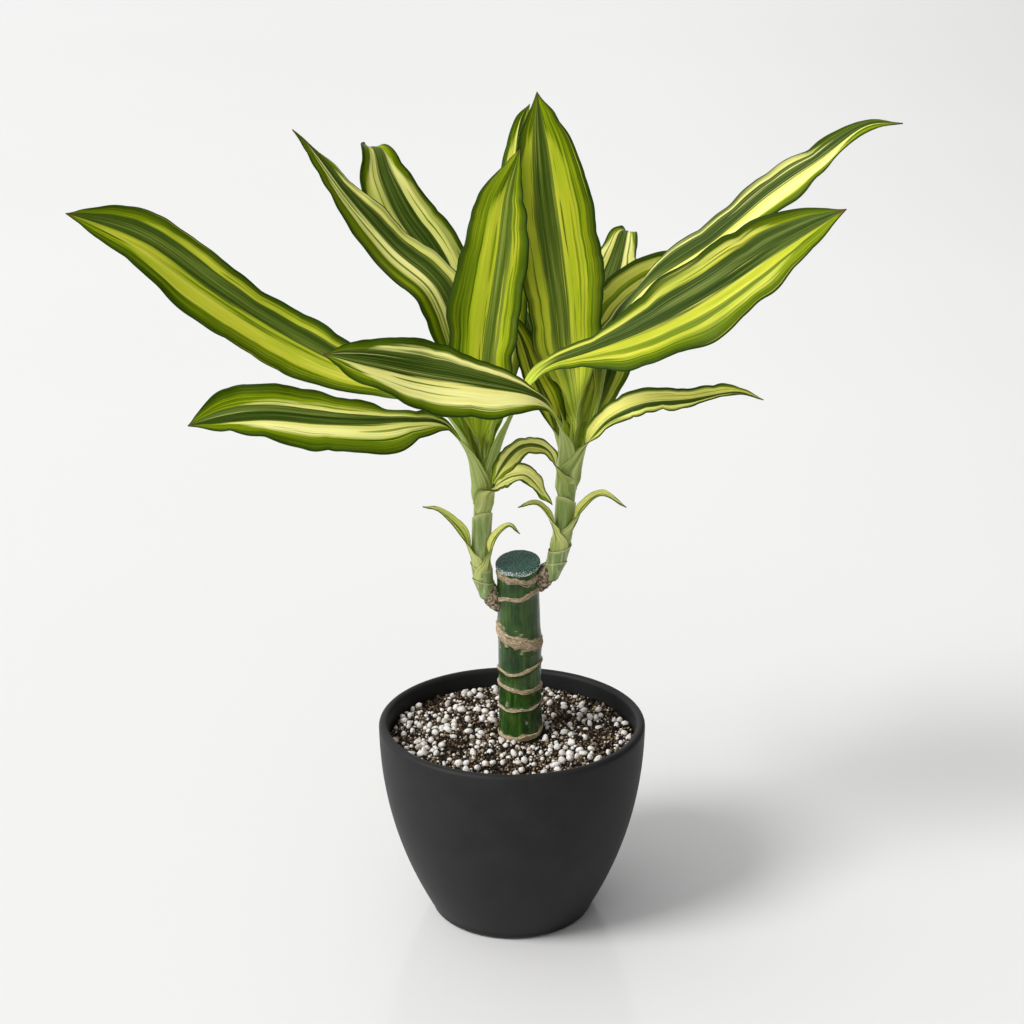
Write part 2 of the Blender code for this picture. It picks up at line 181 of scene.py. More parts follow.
def noiseNode(tree, vector, scale, detail=3, rough=0.5):
    node = addNode(tree, "ShaderNodeTexNoise")
    node.inputs["Scale"].default_value = scale
    node.inputs["Detail"].default_value = detail
    node.inputs["Roughness"].default_value = rough
    tree.links.new(vector, node.inputs["Vector"])
    return node.outputs["Fac"]


def rampNode(tree, factor, stops, smoothStops=False):
    node = addNode(tree, "ShaderNodeValToRGB")
    if smoothStops:
        node.color_ramp.interpolation = "EASE"
    elements = node.color_ramp.elements
    while len(elements) < len(stops):
        elements.new(0.5)
    for element, (position, colour) in zip(elements, stops):
        element.position = position
        element.color = (*colour, 1) if len(colour) == 3 else colour
    tree.links.new(factor, node.inputs["Fac"])
    return node.outputs["Color"]


def maskNode(tree, factor, low, high, most=1, least=0, soft=False):
    # a grey that goes from least at low to most at high
    return rampNode(tree, factor, [(low, grey(least)), (high, grey(most))], soft)


def mixNode(tree, factor, first, second, blend="MIX"):
    node = addNode(tree, "ShaderNodeMix", data_type="RGBA", blend_type=blend)
    sockets = (node.inputs[0], node.inputs[6], node.inputs[7])  # factor, A and B as colours
    for socket, value in zip(sockets, (factor, first, second)):
        if isinstance(value, (int, float)):
            socket.default_value = value
        elif isinstance(value, tuple):
            socket.default_value = (*value, 1)
        else:
            tree.links.new(value, socket)
    return node.outputs[2]


def setColour(tree, shader, colour):
    tree.links.new(colour, shader.inputs["Base Color"])


def addBump(tree, shader, height, strength, distance):
    node = addNode(tree, "ShaderNodeBump")
    node.inputs["Strength"].default_value = strength
    node.inputs["Distance"].default_value = distance
    tree.links.new(height, node.inputs["Height"])
    tree.links.new(node.outputs["Normal"], shader.inputs["Normal"])


def objectVector(tree, scale=(1, 1, 1)):
    coords = addNode(tree, "ShaderNodeTexCoord")
    mapping = addNode(tree, "ShaderNodeMapping")
    mapping.inputs["Scale"].default_value = scale
    tree.links.new(coords.outputs["Object"], mapping.inputs["Vector"])
    return mapping.outputs["Vector"]


def attributeValue(tree, name):
    return addNode(tree, "ShaderNodeAttribute", attribute_name=name).outputs["Fac"]


# pot

potShape = {
    "baseRadius": 41.4 * mm, "footRadius": 38.5 * mm, "footRound": 3.2 * mm, "bulge": 2.15,
    "wall": 5 * mm, "floor": 6 * mm,
    "lipSteps": 16, "wallSteps": 44, "footSteps": 8, "around": 144,
}
potLook = {
    "black": (0.0155, 0.0155, 0.0158), "grey": (0.0205, 0.0205, 0.021), "roughness": (0.48, 0.58),
    "specular": 0.8, "ior": 1.2, "cloudScale": 60, "grainScale": 1400,
}
potLow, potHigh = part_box("pot")
potHeight = potHigh.z
rimRadius = potHigh.x


def wallRadius(height):
    spread = 1 - max(0, 1 - height / potHeight) ** potShape["bulge"]
    return potShape["baseRadius"] + (rimRadius - potShape["baseRadius"]) * spread


def potMaterial():
    low, high = potLook["roughness"]
    material, tree, shader = newMaterial("potMatteBlack", low, potLook["specular"])
    shader.inputs["IOR"].default_value = potLook["ior"]
    vector = objectVector(tree)
    clouds = noiseNode(tree, vector, potLook["cloudScale"], 4)
    grain = noiseNode(tree, vector, potLook["grainScale"], 2)
    setColour(tree, shader, rampNode(tree, clouds, [(0.35, potLook["black"]), (0.7, potLook["grey"])]))
    rough = addNode(tree, "ShaderNodeMapRange")
    rough.inputs["To Min"].default_value = low
    rough.inputs["To Max"].default_value = high
    tree.links.new(clouds, rough.inputs["Value"])
    tree.links.new(rough.outputs["Result"], shader.inputs["Roughness"])
    addBump(tree, shader, grain, 0.12, 0.0004)
    return material


def makePot():
    wall, floor, foot = potShape["wall"], potShape["floor"], potShape["footRound"]
    lip = wall / 2
    top = potHeight - lip
    profile = []
    for i in range(potShape["lipSteps"] + 1):
        angle = math.pi * i / potShape["lipSteps"]
        profile.append((rimRadius - lip + lip * math.cos(angle), top + lip * math.sin(angle)))
    profile.reverse()
    for i in range(1, potShape["wallSteps"] + 1):
        height = top + (foot - top) * i / potShape["wallSteps"]
        profile.append((wallRadius(height), height))
    corner = profile[-1][0] - potShape["footRadius"]
    for i in range(1, potShape["footSteps"] + 1):
        angle = math.pi / 2 * i / potShape["footSteps"]
        profile.append((potShape["footRadius"] + corner * math.cos(angle), foot - foot * math.sin(angle)))
    profile.append((0, 0))
    inner = [(0, floor)]
    for i in range(potShape["wallSteps"]):
        height = floor + (top - floor) * i / potShape["wallSteps"]
        inner.append((wallRadius(height) - wall, height))
    bm = spinProfile([*profile, *inner, profile[0]], potShape["around"])
    addPiece("potBody", bm, [potMaterial()], ["pot"])


makePot()
print("pot made")


# potting mix: a lumpy surface with loose crumbs and perlite on it

soilShape = {
    "edgeHeight": 98 * mm, "crown": 1.5 * mm, "lumps": 0.66 * mm, "sideGap": 0.6 * mm,
    "rings": 46, "sideSteps": 8, "around": 120, "seed": 11,
    # loose lumps: how many, least and most size in mm, how small sizes outnumber big ones,
    # how far they stand out of the mix and how rough they are
    "crumbs": {"count": 6800, "sizes": (0.3, 1.1), "power": 1.6, "settle": 0.6, "rough": 0.25},
    "perlite": {"count": 1180, "sizes": (0.3, 2.3), "power": 3.3, "settle": 0.75, "rough": 0.12},
    "tries": 30, "batch": 3000, "roundFrom": 1.3 * mm,
}
soilLook = {
    "mix": [(0.30, (0.008, 0.005, 0.003)), (0.48, (0.055, 0.033, 0.019)),
            (0.62, (0.17, 0.115, 0.068)), (0.74, (0.52, 0.41, 0.28))],
    "perlite": [(0.3, (0.60, 0.57, 0.52)), (0.55, (0.90, 0.88, 0.85))], "stain": (0.33, 0.25, 0.17),
}
soilLow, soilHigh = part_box("soil")
soilRadius = wallRadius(soilShape["edgeHeight"]) - potShape["wall"] - 0.5 * mm
caneSpot = Vector((5 * mm, 0, 0))
caneClear = 12.6 * mm


def soilHeight(x, y):
    reach = math.hypot(x, y) / soilRadius
    lumps = noise.noise(Vector((x, y, 0.3)) * 160) + 0.6 * noise.noise(Vector((x, y, 1.7)) * 420)
    return soilShape["edgeHeight"] + soilShape["crown"] * (1 - reach * reach) + soilShape["lumps"] * lumps


def soilMaterial():
    material, tree, shader = newMaterial("pottingMix", 0.92, 0.2)
    fibre = noiseNode(tree, objectVector(tree), 900, 5, 0.7)
    tone = plus(tree, times(tree, fibre, 0.5), times(tree, attributeValue(tree, "tone"), 0.5))
    setColour(tree, shader, rampNode(tree, tone, soilLook["mix"]))
    addBump(tree, shader, fibre, 0.8, 0.0012)
    return material


def perliteMaterial():
    material, tree, shader = newMaterial("perlite", 0.85, 0.3)
    vector = objectVector(tree)
    pores = noiseNode(tree, vector, 1500, 3, 0.6)
    stain = plus(tree, noiseNode(tree, vector, 400, 3), times(tree, attributeValue(tree, "tone"), 0.22))
    white = rampNode(tree, pores, soilLook["perlite"])
    setColour(tree, shader, mixNode(tree, maskNode(tree, stain, 0.62, 0.85, 0.6), white, soilLook["stain"]))
    addBump(tree, shader, pores, 0.6, 0.0008)
    return material


def scatterGrains(bm, rng, kind, taken=None):
    # loose lumps on the mix, inside the rim and clear of the cane; where taken is a list, they
    # gather in patches and keep off each other; they are made in batches because that is quicker
    low, high = kind["sizes"]
    batch, batchMesh = bmesh.new(), bpy.data.meshes.new("grainBatch")
    toneLayer = batch.verts.layers.float.new("tone")

    def flush():
        batch.to_mesh(batchMesh)
        bm.from_mesh(batchMesh)
        batch.clear()

    wanted = [(low + (high - low) * rng.random() ** kind["power"]) * mm for _ in range(kind["count"])]
    for size in sorted(wanted, reverse=True):
        for _ in range(soilShape["tries"]):
            angle = rng.uniform(0, math.tau)
            reach = (soilRadius - size) * math.sqrt(rng.random())
            x, y = reach * math.cos(angle), reach * math.sin(angle)
            if math.hypot(x - caneSpot.x, y - caneSpot.y) < caneClear + size * 0.7:
                continue
            if taken is not None and noise.noise(Vector((x, y, 5)) * 55) * 1.6 + 0.75 < rng.random():
                continue
            if taken is None or all(math.hypot(x - a, y - b) > (size + c) * 0.82 for a, b, c in taken):
                break
        else:
            continue
        if taken is not None:
            taken.append((x, y, size))
        spot = Vector((x, y, soilHeight(x, y) + size * kind["settle"] * rng.uniform(0.3, 1)))
        spin = rng.uniform(0, math.tau)
        turn = Matrix.Rotation(spin, 4, Vector((rng.random(), rng.random(), 0.3)).normalized())
        stretch = Matrix.Diagonal((size * rng.uniform(0.8, 1.3), size * rng.uniform(0.75, 1.0),
                                   size * rng.uniform(0.65, 0.95), 1))
        if len(batch.verts) > soilShape["batch"]:
            flush()
            toneLayer = batch.verts.layers.float.get("tone") or batch.verts.layers.float.new("tone")
        made = bmesh.ops.create_icosphere(batch, subdivisions=2 if size > soilShape["roundFrom"] else 1,
                                          radius=1, matrix=Matrix.Translation(spot) @ turn @ stretch)
        tone = rng.random()
        for vert in made["verts"]:
            vert.co += (vert.co - spot) * rng.uniform(-kind["rough"], kind["rough"])
            vert[toneLayer] = tone
    flush()
    batch.free()
    bpy.data.meshes.remove(batchMesh)


def makeSoil():
    mix, edgeHeight = soilMaterial(), soilShape["edgeHeight"]
    profile = []
    for i in range(soilShape["rings"] + 1):
        profile.append((soilRadius * i / soilShape["rings"], edgeHeight))
    for i in range(1, soilShape["sideSteps"] + 1):
        height = edgeHeight + (soilLow.z - edgeHeight) * i / soilShape["sideSteps"]
        profile.append((wallRadius(height) - potShape["wall"] - soilShape["sideGap"], height))
    profile.append((0, soilLow.z))
    bm = spinProfile(profile, soilShape["around"])
    for vert in bm.verts:
        if vert.co.z > edgeHeight - 0.1 * mm:
            vert.co.z = soilHeight(vert.co.x, vert.co.y)
    addPiece("soilBody", bm, [mix], ["soil"])
    rng = random.Random(soilShape["seed"])
    bm = bmesh.new()
    scatterGrains(bm, rng, soilShape["crumbs"])
    addPiece("soilCrumbs", bm, [mix])
    bm = bmesh.new()
    scatterGrains(bm, rng, soilShape["perlite"], [])
    addPiece("perliteGrains", bm, [perliteMaterial()])


makeSoil()
print("potting mix made")


# cane: bark with leaf scars, fibres left on the scars, wax on the cut end

caneShape = {
    "foot": Vector((5.5, 0, 52)) * mm, "lean": math.radians(-1.0), "length": 143 * mm,
    "radius": 11.6 * mm, "rows": 230, "around": 96, "cutTilt": (math.radians(12), math.radians(-5)),
    # each scar: height above the foot, rise to the right, half width, swell, all mm, and its fibres
    "scars": [(50.0, 2.0, 1.5, 0.5, 6), (66.5, 2.2, 0.7, 0.4, 4), (77.0, -2.6, 1.1, 0.6, 7),
              (87.5, 3.6, 0.8, 0.6, 6), (104.0, -7.5, 3.2, 1.0, 22), (128.0, 5.0, 1.5, 0.8, 13),
              (137.5, -3.0, 1.4, 0.4, 12)],
    "strandSides": 6, "strandSteps": 90, "seed": 5,
}
barkLook = {
    "green": [(0.3, (0.005, 0.022, 0.002)), (0.5, (0.013, 0.052, 0.004)), (0.72, (0.055, 0.120, 0.014))],
    # the whitish patch tint stands partly for wax smudges on the bark and partly for painted highlight
    # streaks
    "blotch": (0.09, 0.15, 0.030), "scuff": (0.40, 0.40, 0.30), "roughness": (0.21, 0.85),
    "cork": [(0.3, (0.045, 0.028, 0.014)), (0.5, (0.33, 0.245, 0.15)), (0.68, (0.68, 0.60, 0.47))],
    "fibre": [(0.3, (0.15, 0.095, 0.05)), (0.5, (0.45, 0.34, 0.21)), (0.68, (0.78, 0.67, 0.49))],
}
caneTurn = Matrix.Translation(caneShape["foot"]) @ Matrix.Rotation(caneShape["lean"], 4, "Y")
cutPoint = caneTurn @ Vector((0, 0, caneShape["length"]))
cutTurn = (Matrix.Translation(cutPoint) @ Matrix.Rotation(caneShape["cutTilt"][1], 4, "Y")
           @ Matrix.Rotation(caneShape["cutTilt"][0], 4, "X"))


def scarLine(scar, angle):
    # the height of a scar's middle at an angle round the cane
    height, rise, _, _, _ = scar
    turn = Vector((math.cos(angle), math.sin(angle), height * 0.37))  # each scar wavers its own way
    dip = 1.1 * max(0, -math.sin(angle)) ** 2
    return (height + rise / 2 * math.cos(angle) - dip + 1.6 * noise.noise(turn * 1.2)) * mm


def caneRadius(angle, height):
    taper = caneShape["radius"] - 0.6 * mm * height / caneShape["length"]
    swell = 0.0
    for scar in caneShape["scars"]:
        away = (height - scarLine(scar, angle)) / (scar[2] * 1.7 * mm)
        swell += scar[3] * mm * math.exp(-away * away)
    lumps = 0.35 * mm * noise.noise(Vector((math.cos(angle) * 1.5, math.sin(angle) * 1.5, height * 45)))
    return taper + swell * 0.8 + lumps - 0.15 * mm


def scarShare(angle, height):
    share = 0.0
    ragged = 0.9 * noise.noise(Vector((math.cos(angle) * 4, math.sin(angle) * 4, height * 500)))
    for scar in caneShape["scars"]:
        breadth = 1 + 0.9 * noise.noise(Vector((math.cos(angle), math.sin(angle), scar[0] * 0.61)) * 1.3)
        away = (height - scarLine(scar, angle)) / (scar[2] * breadth * mm) + ragged
        share = max(share, math.exp(-away * away))
    return share


def barkMaterial():
    material, tree, shader = newMaterial("caneBark", 0.3, 0.32)
    streaks = noiseNode(tree, objectVector(tree, (1, 1, 0.12)), 420, 4, 0.6)
    blotch = noiseNode(tree, objectVector(tree), 95, 3)
    fibre = noiseNode(tree, objectVector(tree, (0.25, 0.25, 3)), 900, 4, 0.65)
    green = rampNode(tree, streaks, barkLook["green"])
    green = mixNode(tree, maskNode(tree, blotch, 0.45, 0.75, 0.4), green, barkLook["blotch"])
    scar = attributeValue(tree, "scar")
    edge = plus(tree, scar, spread(tree, fibre, 0.9))
    colour = mixNode(tree, maskNode(tree, edge, 0.34, 0.62), green, rampNode(tree, fibre, barkLook["cork"]))
    # pale patches laid over the bark: partly wax smudges, partly painted highlight streaks
    scuff = noiseNode(tree, objectVector(tree, (1, 1, 0.5)), 260, 5, 0.7)
    colour = mixNode(tree, maskNode(tree, scuff, 0.62, 0.72, 0.8), colour, barkLook["scuff"])
    setColour(tree, shader, colour)
    glossy, dull = barkLook["roughness"]
    tree.links.new(maskNode(tree, edge, 0.3, 0.6, dull, glossy), shader.inputs["Roughness"])
    addBump(tree, shader, plus(tree, times(tree, fibre, scar), streaks), 0.5, 0.0009)
    return material


def fibreMaterial():
    material, tree, shader = newMaterial("scarFibre", 0.85, 0.2)
    strand = noiseNode(tree, objectVector(tree, (1, 1, 4)), 600, 4, 0.65)
    setColour(tree, shader, rampNode(tree, strand, barkLook["fibre"]))
    addBump(tree, shader, strand, 0.7, 0.0006)
    return material


def cutOff(bm):
    # slice the top off along the slanting cut and close it
    normal = (cutTurn.to_3x3() @ Vector((0, 0, 1))).normalized()
    cut = bmesh.ops.bisect_plane(bm, geom=bm.verts[:] + bm.edges[:] + bm.faces[:], dist=1e-6,
                                 plane_co=cutPoint, plane_no=normal, clear_outer=True)
    rim = [item for item in cut["geom_cut"] if isinstance(item, bmesh.types.BMEdge)]
    bmesh.ops.contextual_create(bm, geom=rim)


def makeBark():
    length = caneShape["length"] + 5 * mm
    profile = [(0, 0), (caneShape["radius"], 0)]
    for i in range(1, caneShape["rows"] + 1):
        profile.append((caneShape["radius"], length * i / caneShape["rows"]))
    profile.append((0, length))
    bm = spinProfile(profile, caneShape["around"])
    scarLayer = bm.verts.layers.float.new("scar")
    for vert in bm.verts:
        angle, height = math.atan2(vert.co.y, vert.co.x), vert.co.z
        if math.hypot(vert.co.x, vert.co.y) > 1 * mm:
            radius = caneRadius(angle, height)
            vert.co.x, vert.co.y = radius * math.cos(angle), radius * math.sin(angle)
        vert[scarLayer] = scarShare(angle, height)
    bmesh.ops.transform(bm, matrix=caneTurn, verts=bm.verts)
    cutOff(bm)
    addPiece("caneBark", bm, [barkMaterial()], ["cane"])


def makeStrand(rng, scar, order):
    # one fibre that runs round the cane along a scar
    shift = rng.uniform(-1, 1) * scar[2] * 0.75 * mm
    thick = rng.uniform(0.08, 0.30) * mm
    phase, reach = rng.uniform(0, 50), rng.uniform(0.3, 1.5) * mm
    middle = 20 * mm
    strand = bmesh.new()
    ring = bmesh.ops.create_circle(strand, radius=thick, segments=caneShape["strandSides"],
                                   matrix=Matrix.Rotation(math.pi / 2, 4, "X"))["verts"]
    bmesh.ops.translate(strand, verts=ring, vec=(middle, 0, 0))
    bmesh.ops.spin(strand, geom=strand.verts[:] + strand.edges[:], cent=(0, 0, 0), axis=(0, 0, 1),
                   angle=math.tau, steps=caneShape["strandSteps"], use_merge=True)
    for vert in strand.verts:
        angle = math.atan2(vert.co.y, vert.co.x)
        out, up = math.hypot(vert.co.x, vert.co.y) - middle, vert.co.z
        turn = Vector((math.cos(angle), math.sin(angle), 0))
        stray = reach * noise.noise(turn * 2 + Vector((phase, 0, phase)))
        height = scarLine(scar, angle) + shift + stray
        swell = 1 + 0.5 * wobble(angle * 3 + phase, order + 1)
        sink = 1.3 * noise.noise(turn * 1.7 + Vector((0, 0, phase)))
        radius = caneRadius(angle, height) + thick * (0.3 + sink) + out * swell
        vert.co = (radius * turn.x, radius * turn.y, height + up * swell)
    return strand


def makeFibres():
    rng = random.Random(caneShape["seed"])
    bm, strandMesh = bmesh.new(), bpy.data.meshes.new("strand")
    for scar in caneShape["scars"]:
        for order in range(scar[4]):
            strand = makeStrand(rng, scar, order)
            strand.to_mesh(strandMesh)
            strand.free()
            bm.from_mesh(strandMesh)
    bpy.data.meshes.remove(strandMesh)
    bmesh.ops.recalc_face_normals(bm, faces=bm.faces)
    bmesh.ops.transform(bm, matrix=caneTurn, verts=bm.verts)
    addPiece("caneFibres", bm, [fibreMaterial()])


makeBark()
makeFibres()
print("cane made")

waxShape = {
    "radius": 10.9 * mm, "overhang": 0.6 * mm, "thick": 1.0 * mm, "edge": 0.8 * mm, "skirt": 0.9 * mm,
    "drip": 3.4 * mm, "dripAngle": math.radians(-112), "dripSpread": 0.75,
    "underside": 0.05 * mm, "rings": 24, "edgeSteps": 6, "skirtSteps": 8, "around": 120,
    "grains": 240, "grainSizes": (0.12 * mm, 0.36 * mm), "seed": 8,
}
waxLook = {
    "green": [(0.38, (0.003, 0.028, 0.020)), (0.5, (0.009, 0.070, 0.052)), (0.64, (0.13, 0.30, 0.25))],
    "bloom": (0.62, 0.68, 0.66), "grain": [(0.35, (0.42, 0.50, 0.48)), (0.6, (0.80, 0.84, 0.82))],
}


def waxMaterial():
    material, tree, shader = newMaterial("cutWax", 0.44, 0.3)
    speck = noiseNode(tree, objectVector(tree), 1900, 3, 0.7)
    rim = plus(tree, attributeValue(tree, "rim"), spread(tree, speck, 2.2))
    green = rampNode(tree, speck, waxLook["green"])
    setColour(tree, shader, mixNode(tree, maskNode(tree, rim, 0.62, 0.9), green, waxLook["bloom"]))
    addBump(tree, shader, speck, 0.5, 0.0006)
    return material


def grainMaterial():
    material, tree, shader = newMaterial("waxGrain", 0.6, 0.3)
    tone = noiseNode(tree, objectVector(tree), 900, 2)
    setColour(tree, shader, rampNode(tree, tone, waxLook["grain"]))
    return material


def makeSeal():
    thick, edge, skirt = waxShape["thick"], waxShape["edge"], waxShape["skirt"]
    outer = waxShape["radius"] + waxShape["overhang"]
    profile = [(0, thick)]
    for i in range(1, waxShape["rings"] + 1):
        profile.append((waxShape["radius"] * i / (waxShape["rings"] + 1), thick))
    for i in range(waxShape["edgeSteps"] + 1):
        angle = math.pi / 2 * i / waxShape["edgeSteps"]
        profile.append((outer - edge + edge * math.sin(angle), thick - edge + edge * math.cos(angle)))
    for i in range(1, waxShape["skirtSteps"] + 1):
        profile.append((outer, -skirt * i / waxShape["skirtSteps"]))
    profile.append((outer - 1.0 * mm, -skirt))
    profile.append((outer - 1.2 * mm, waxShape["underside"]))
    profile.append((0, waxShape["underside"]))
    bm = spinProfile(profile, waxShape["around"])
    rimLayer = bm.verts.layers.float.new("rim")
    for vert in bm.verts:
        angle = math.atan2(vert.co.y, vert.co.x)
        reach = math.hypot(vert.co.x, vert.co.y)
        bumps = noise.noise(vert.co * 520) * 0.16 * mm + noise.noise(vert.co * 170) * 0.22 * mm
        past = angle - waxShape["dripAngle"]
        away = math.atan2(math.sin(past), math.cos(past))
        drip = math.exp(-(away / waxShape["dripSpread"]) ** 2) * (0.75 + 0.5 * wobble(angle * 5, 3))
        if vert.co.z < -0.01 * mm:
            vert.co.z *= 1 + drip * waxShape["drip"] / skirt + 0.5 * wobble(angle * 4, 9)
            vert[rimLayer] = 0.75 * smooth(-vert.co.z / (1.2 * mm)) + 0.2
        else:
            vert.co.z += bumps
            vert[rimLayer] = smooth((reach - 9.6 * mm) / (1.6 * mm)) * (0.35 + 0.55 * drip)
        vert.co.x *= 1 + bumps * 12
        vert.co.y *= 1 + bumps * 12
    bmesh.ops.transform(bm, matrix=cutTurn, verts=bm.verts)
    addPiece("waxSeal", bm, [waxMaterial()], ["wax_cap"])


def makeWaxGrains():
    # rough grains of wax at the rim, on the side where it ran down
    rng = random.Random(waxShape["seed"])
    bm = bmesh.new()
    for _ in range(waxShape["grains"]):
        angle = waxShape["dripAngle"] + rng.gauss(0, waxShape["dripSpread"])
        drop = rng.uniform(-1.6, 0.9) * mm
        reach = waxShape["radius"] + (0.55 if drop < 0.3 * mm else 0.1) * mm
        spot = Vector((reach * math.cos(angle), reach * math.sin(angle), drop))
        size = rng.uniform(*waxShape["grainSizes"])
        bmesh.ops.create_icosphere(bm, subdivisions=1, radius=size, matrix=Matrix.Translation(spot))
    bmesh.ops.transform(bm, matrix=cutTurn, verts=bm.verts)
    addPiece("waxGrains", bm, [grainMaterial()])


makeSeal()
makeWaxGrains()
print("wax made")


# shoots: a core with leaf sheaths wrapped round it

shootShape = {
    "left": {
        "core": [(-12.4, 0, 178, 4.2), (-15, 0, 187, 4.6), (-16, 0, 198, 4.5), (-15.2, -1, 218, 4.4),
                 (-14.5, -1, 236, 4.6), (-14, 0, 250, 3.2), (-13.5, 1, 264, 1.2)],
        # sheaths: foot height, rim height, side its point is on (degrees), rise of the point, flare
        "sheaths": [(177, 186, -150, 2.6, 0.35), (180, 194, 165, 3.5, 0.5), (196, 222, -70, 6.0, 0.1)],
    },
    "right": {
        "core": [(19.6, 0, 188, 4.2), (23, 0, 197, 4.6), (25.5, 0, 209, 4.5), (27.2, 0, 226, 4.4),
                 (28.6, 0, 244, 4.8), (29.6, 0, 258, 3.4), (30.2, 1, 272, 1.2)],
        "sheaths": [(187, 196, -60, 2.2, 0.35), (190, 204, 0, 3.0, 0.6), (206, 230, -120, 6.0, 0.1)],
    },
    "around": 48, "rows": 60, "budLength": 22 * mm, "ribs": 9,
    "sheathRows": 26, "sheathThick": 0.35 * mm, "sheathHalfTurn": math.radians(188),
}
stemLook = {
    "streaks": [(0.3, (0.085, 0.155, 0.045)), (0.5, (0.235, 0.315, 0.11)), (0.68, (0.60, 0.64, 0.31))],
    "cloud": (0.22, 0.31, 0.10), "rim": (0.52, 0.54, 0.22),
    "freshFrom": 0.205, "freshTo": 0.25, "fresh": ((0.22, 0.34, 0.03), (0.52, 0.60, 0.10)),
}


def shootAt(side, height):
    # centre and radius of a shoot at a height
    core = shootShape[side]["core"]
    rows = [(Vector(row[:3]) * mm, row[3] * mm) for row in core]
    if height <= rows[0][0].z:
        slope = (rows[1][0] - rows[0][0]) / (rows[1][0].z - rows[0][0].z)
        return rows[0][0] + slope * (height - rows[0][0].z), rows[0][1]
    for (low, lowRadius), (high, highRadius) in zip(rows, rows[1:]):
        if height <= high.z:
            part = (height - low.z) / (high.z - low.z)
            return low.lerp(high, part), lowRadius + (highRadius - lowRadius) * part
    return rows[-1]


def stemMaterial():
    # grey green low down, fresher towards the heart of the leaves
    material, tree, shader = newMaterial("shootSheath", 0.42, 0.45)
    vector = objectVector(tree)
    streaks = noiseNode(tree, objectVector(tree, (1, 1, 0.07)), 750, 3, 0.6)
    cloud = noiseNode(tree, vector, 70, 2)
    colour = rampNode(tree, streaks, stemLook["streaks"])
    colour = mixNode(tree, times(tree, cloud, 0.5), colour, stemLook["cloud"])
    place = addNode(tree, "ShaderNodeSeparateXYZ")
    tree.links.new(vector, place.inputs[0])
    freshShare = maskNode(tree, place.outputs["Z"], stemLook["freshFrom"], stemLook["freshTo"], 0.75, 0.05)
    colour = mixNode(tree, freshShare, colour, mixNode(tree, streaks, *stemLook["fresh"]))
    rimShare = maskNode(tree, attributeValue(tree, "rim"), 0.55, 0.95, 0.9)
    setColour(tree, shader, mixNode(tree, rimShare, colour, stemLook["rim"]))
    addBump(tree, shader, streaks, 0.35, 0.0006)
    return material


stemFinish = stemMaterial()


def makeShoot(side):
    core = shootShape[side]["core"]
    low, high = core[0][2] * mm - 2 * mm, core[-1][2] * mm
    around = shootShape["around"]
    bm = bmesh.new()
    bmesh.ops.create_cone(bm, cap_ends=True, segments=around, radius1=1, radius2=1, depth=1)
    long = [edge for edge in bm.edges if abs(edge.verts[0].co.z - edge.verts[1].co.z) > 0.5]
    bmesh.ops.subdivide_edges(bm, edges=long, cuts=shootShape["rows"] - 1, use_grid_fill=True)
    for vert in bm.verts:
        height = low + (high - low) * (vert.co.z + 0.5)
        centre, radius = shootAt(side, height)
        radius *= 1 - 0.85 * smooth((height - high) / shootShape["budLength"] + 1)  # a pointed bud
        ribs = 1 + 0.02 * math.sin(shootShape["ribs"] * math.atan2(vert.co.y, vert.co.x))
        vert.co = centre + Vector((vert.co.x, vert.co.y, 0)) * radius * ribs
    rimLayer = bm.verts.layers.float.new("rim")
    for foot, rim, point, rise, flare in shootShape[side]["sheaths"]:
        made = set(bmesh.ops.create_grid(bm, x_segments=around, y_segments=shootShape["sheathRows"],
                                         size=1)["verts"])
        for vert in made:
            u, v = vert.co.x, (vert.co.y + 1) / 2
            angle = math.radians(point) + u * shootShape["sheathHalfTurn"]
            peak = rise * (0.5 + 0.5 * math.cos(u * math.pi)) ** 1.6
            top = (rim - rise * 0.6 + peak) * mm
            height = foot * mm + (top - foot * mm) * v
            centre, radius = shootAt(side, height)
            lift = 0.3 + 0.2 * abs(u) + flare * v ** 4 * (0.4 + 0.8 * (peak / rise)) + 0.35 * v
            lift += 0.25 * wobble(u * 3 + foot, 2) * v
            vert.co = centre + Vector((math.cos(angle), math.sin(angle), 0)) * (radius + lift * mm)
            vert.co.z = height
            vert[rimLayer] = v ** 6
        faces = [face for face in bm.faces if face.verts[0] in made]
        bmesh.ops.solidify(bm, geom=faces, thickness=shootShape["sheathThick"])
    name = "shoot" + side.capitalize() + "Sheaths"
    addPiece(name, bm, [stemFinish], ["shoot_" + side])


makeShoot("left")
makeShoot("right")
print("shoots made")


# leaves: each rises from its shoot, wraps it at the foot and opens into a blade

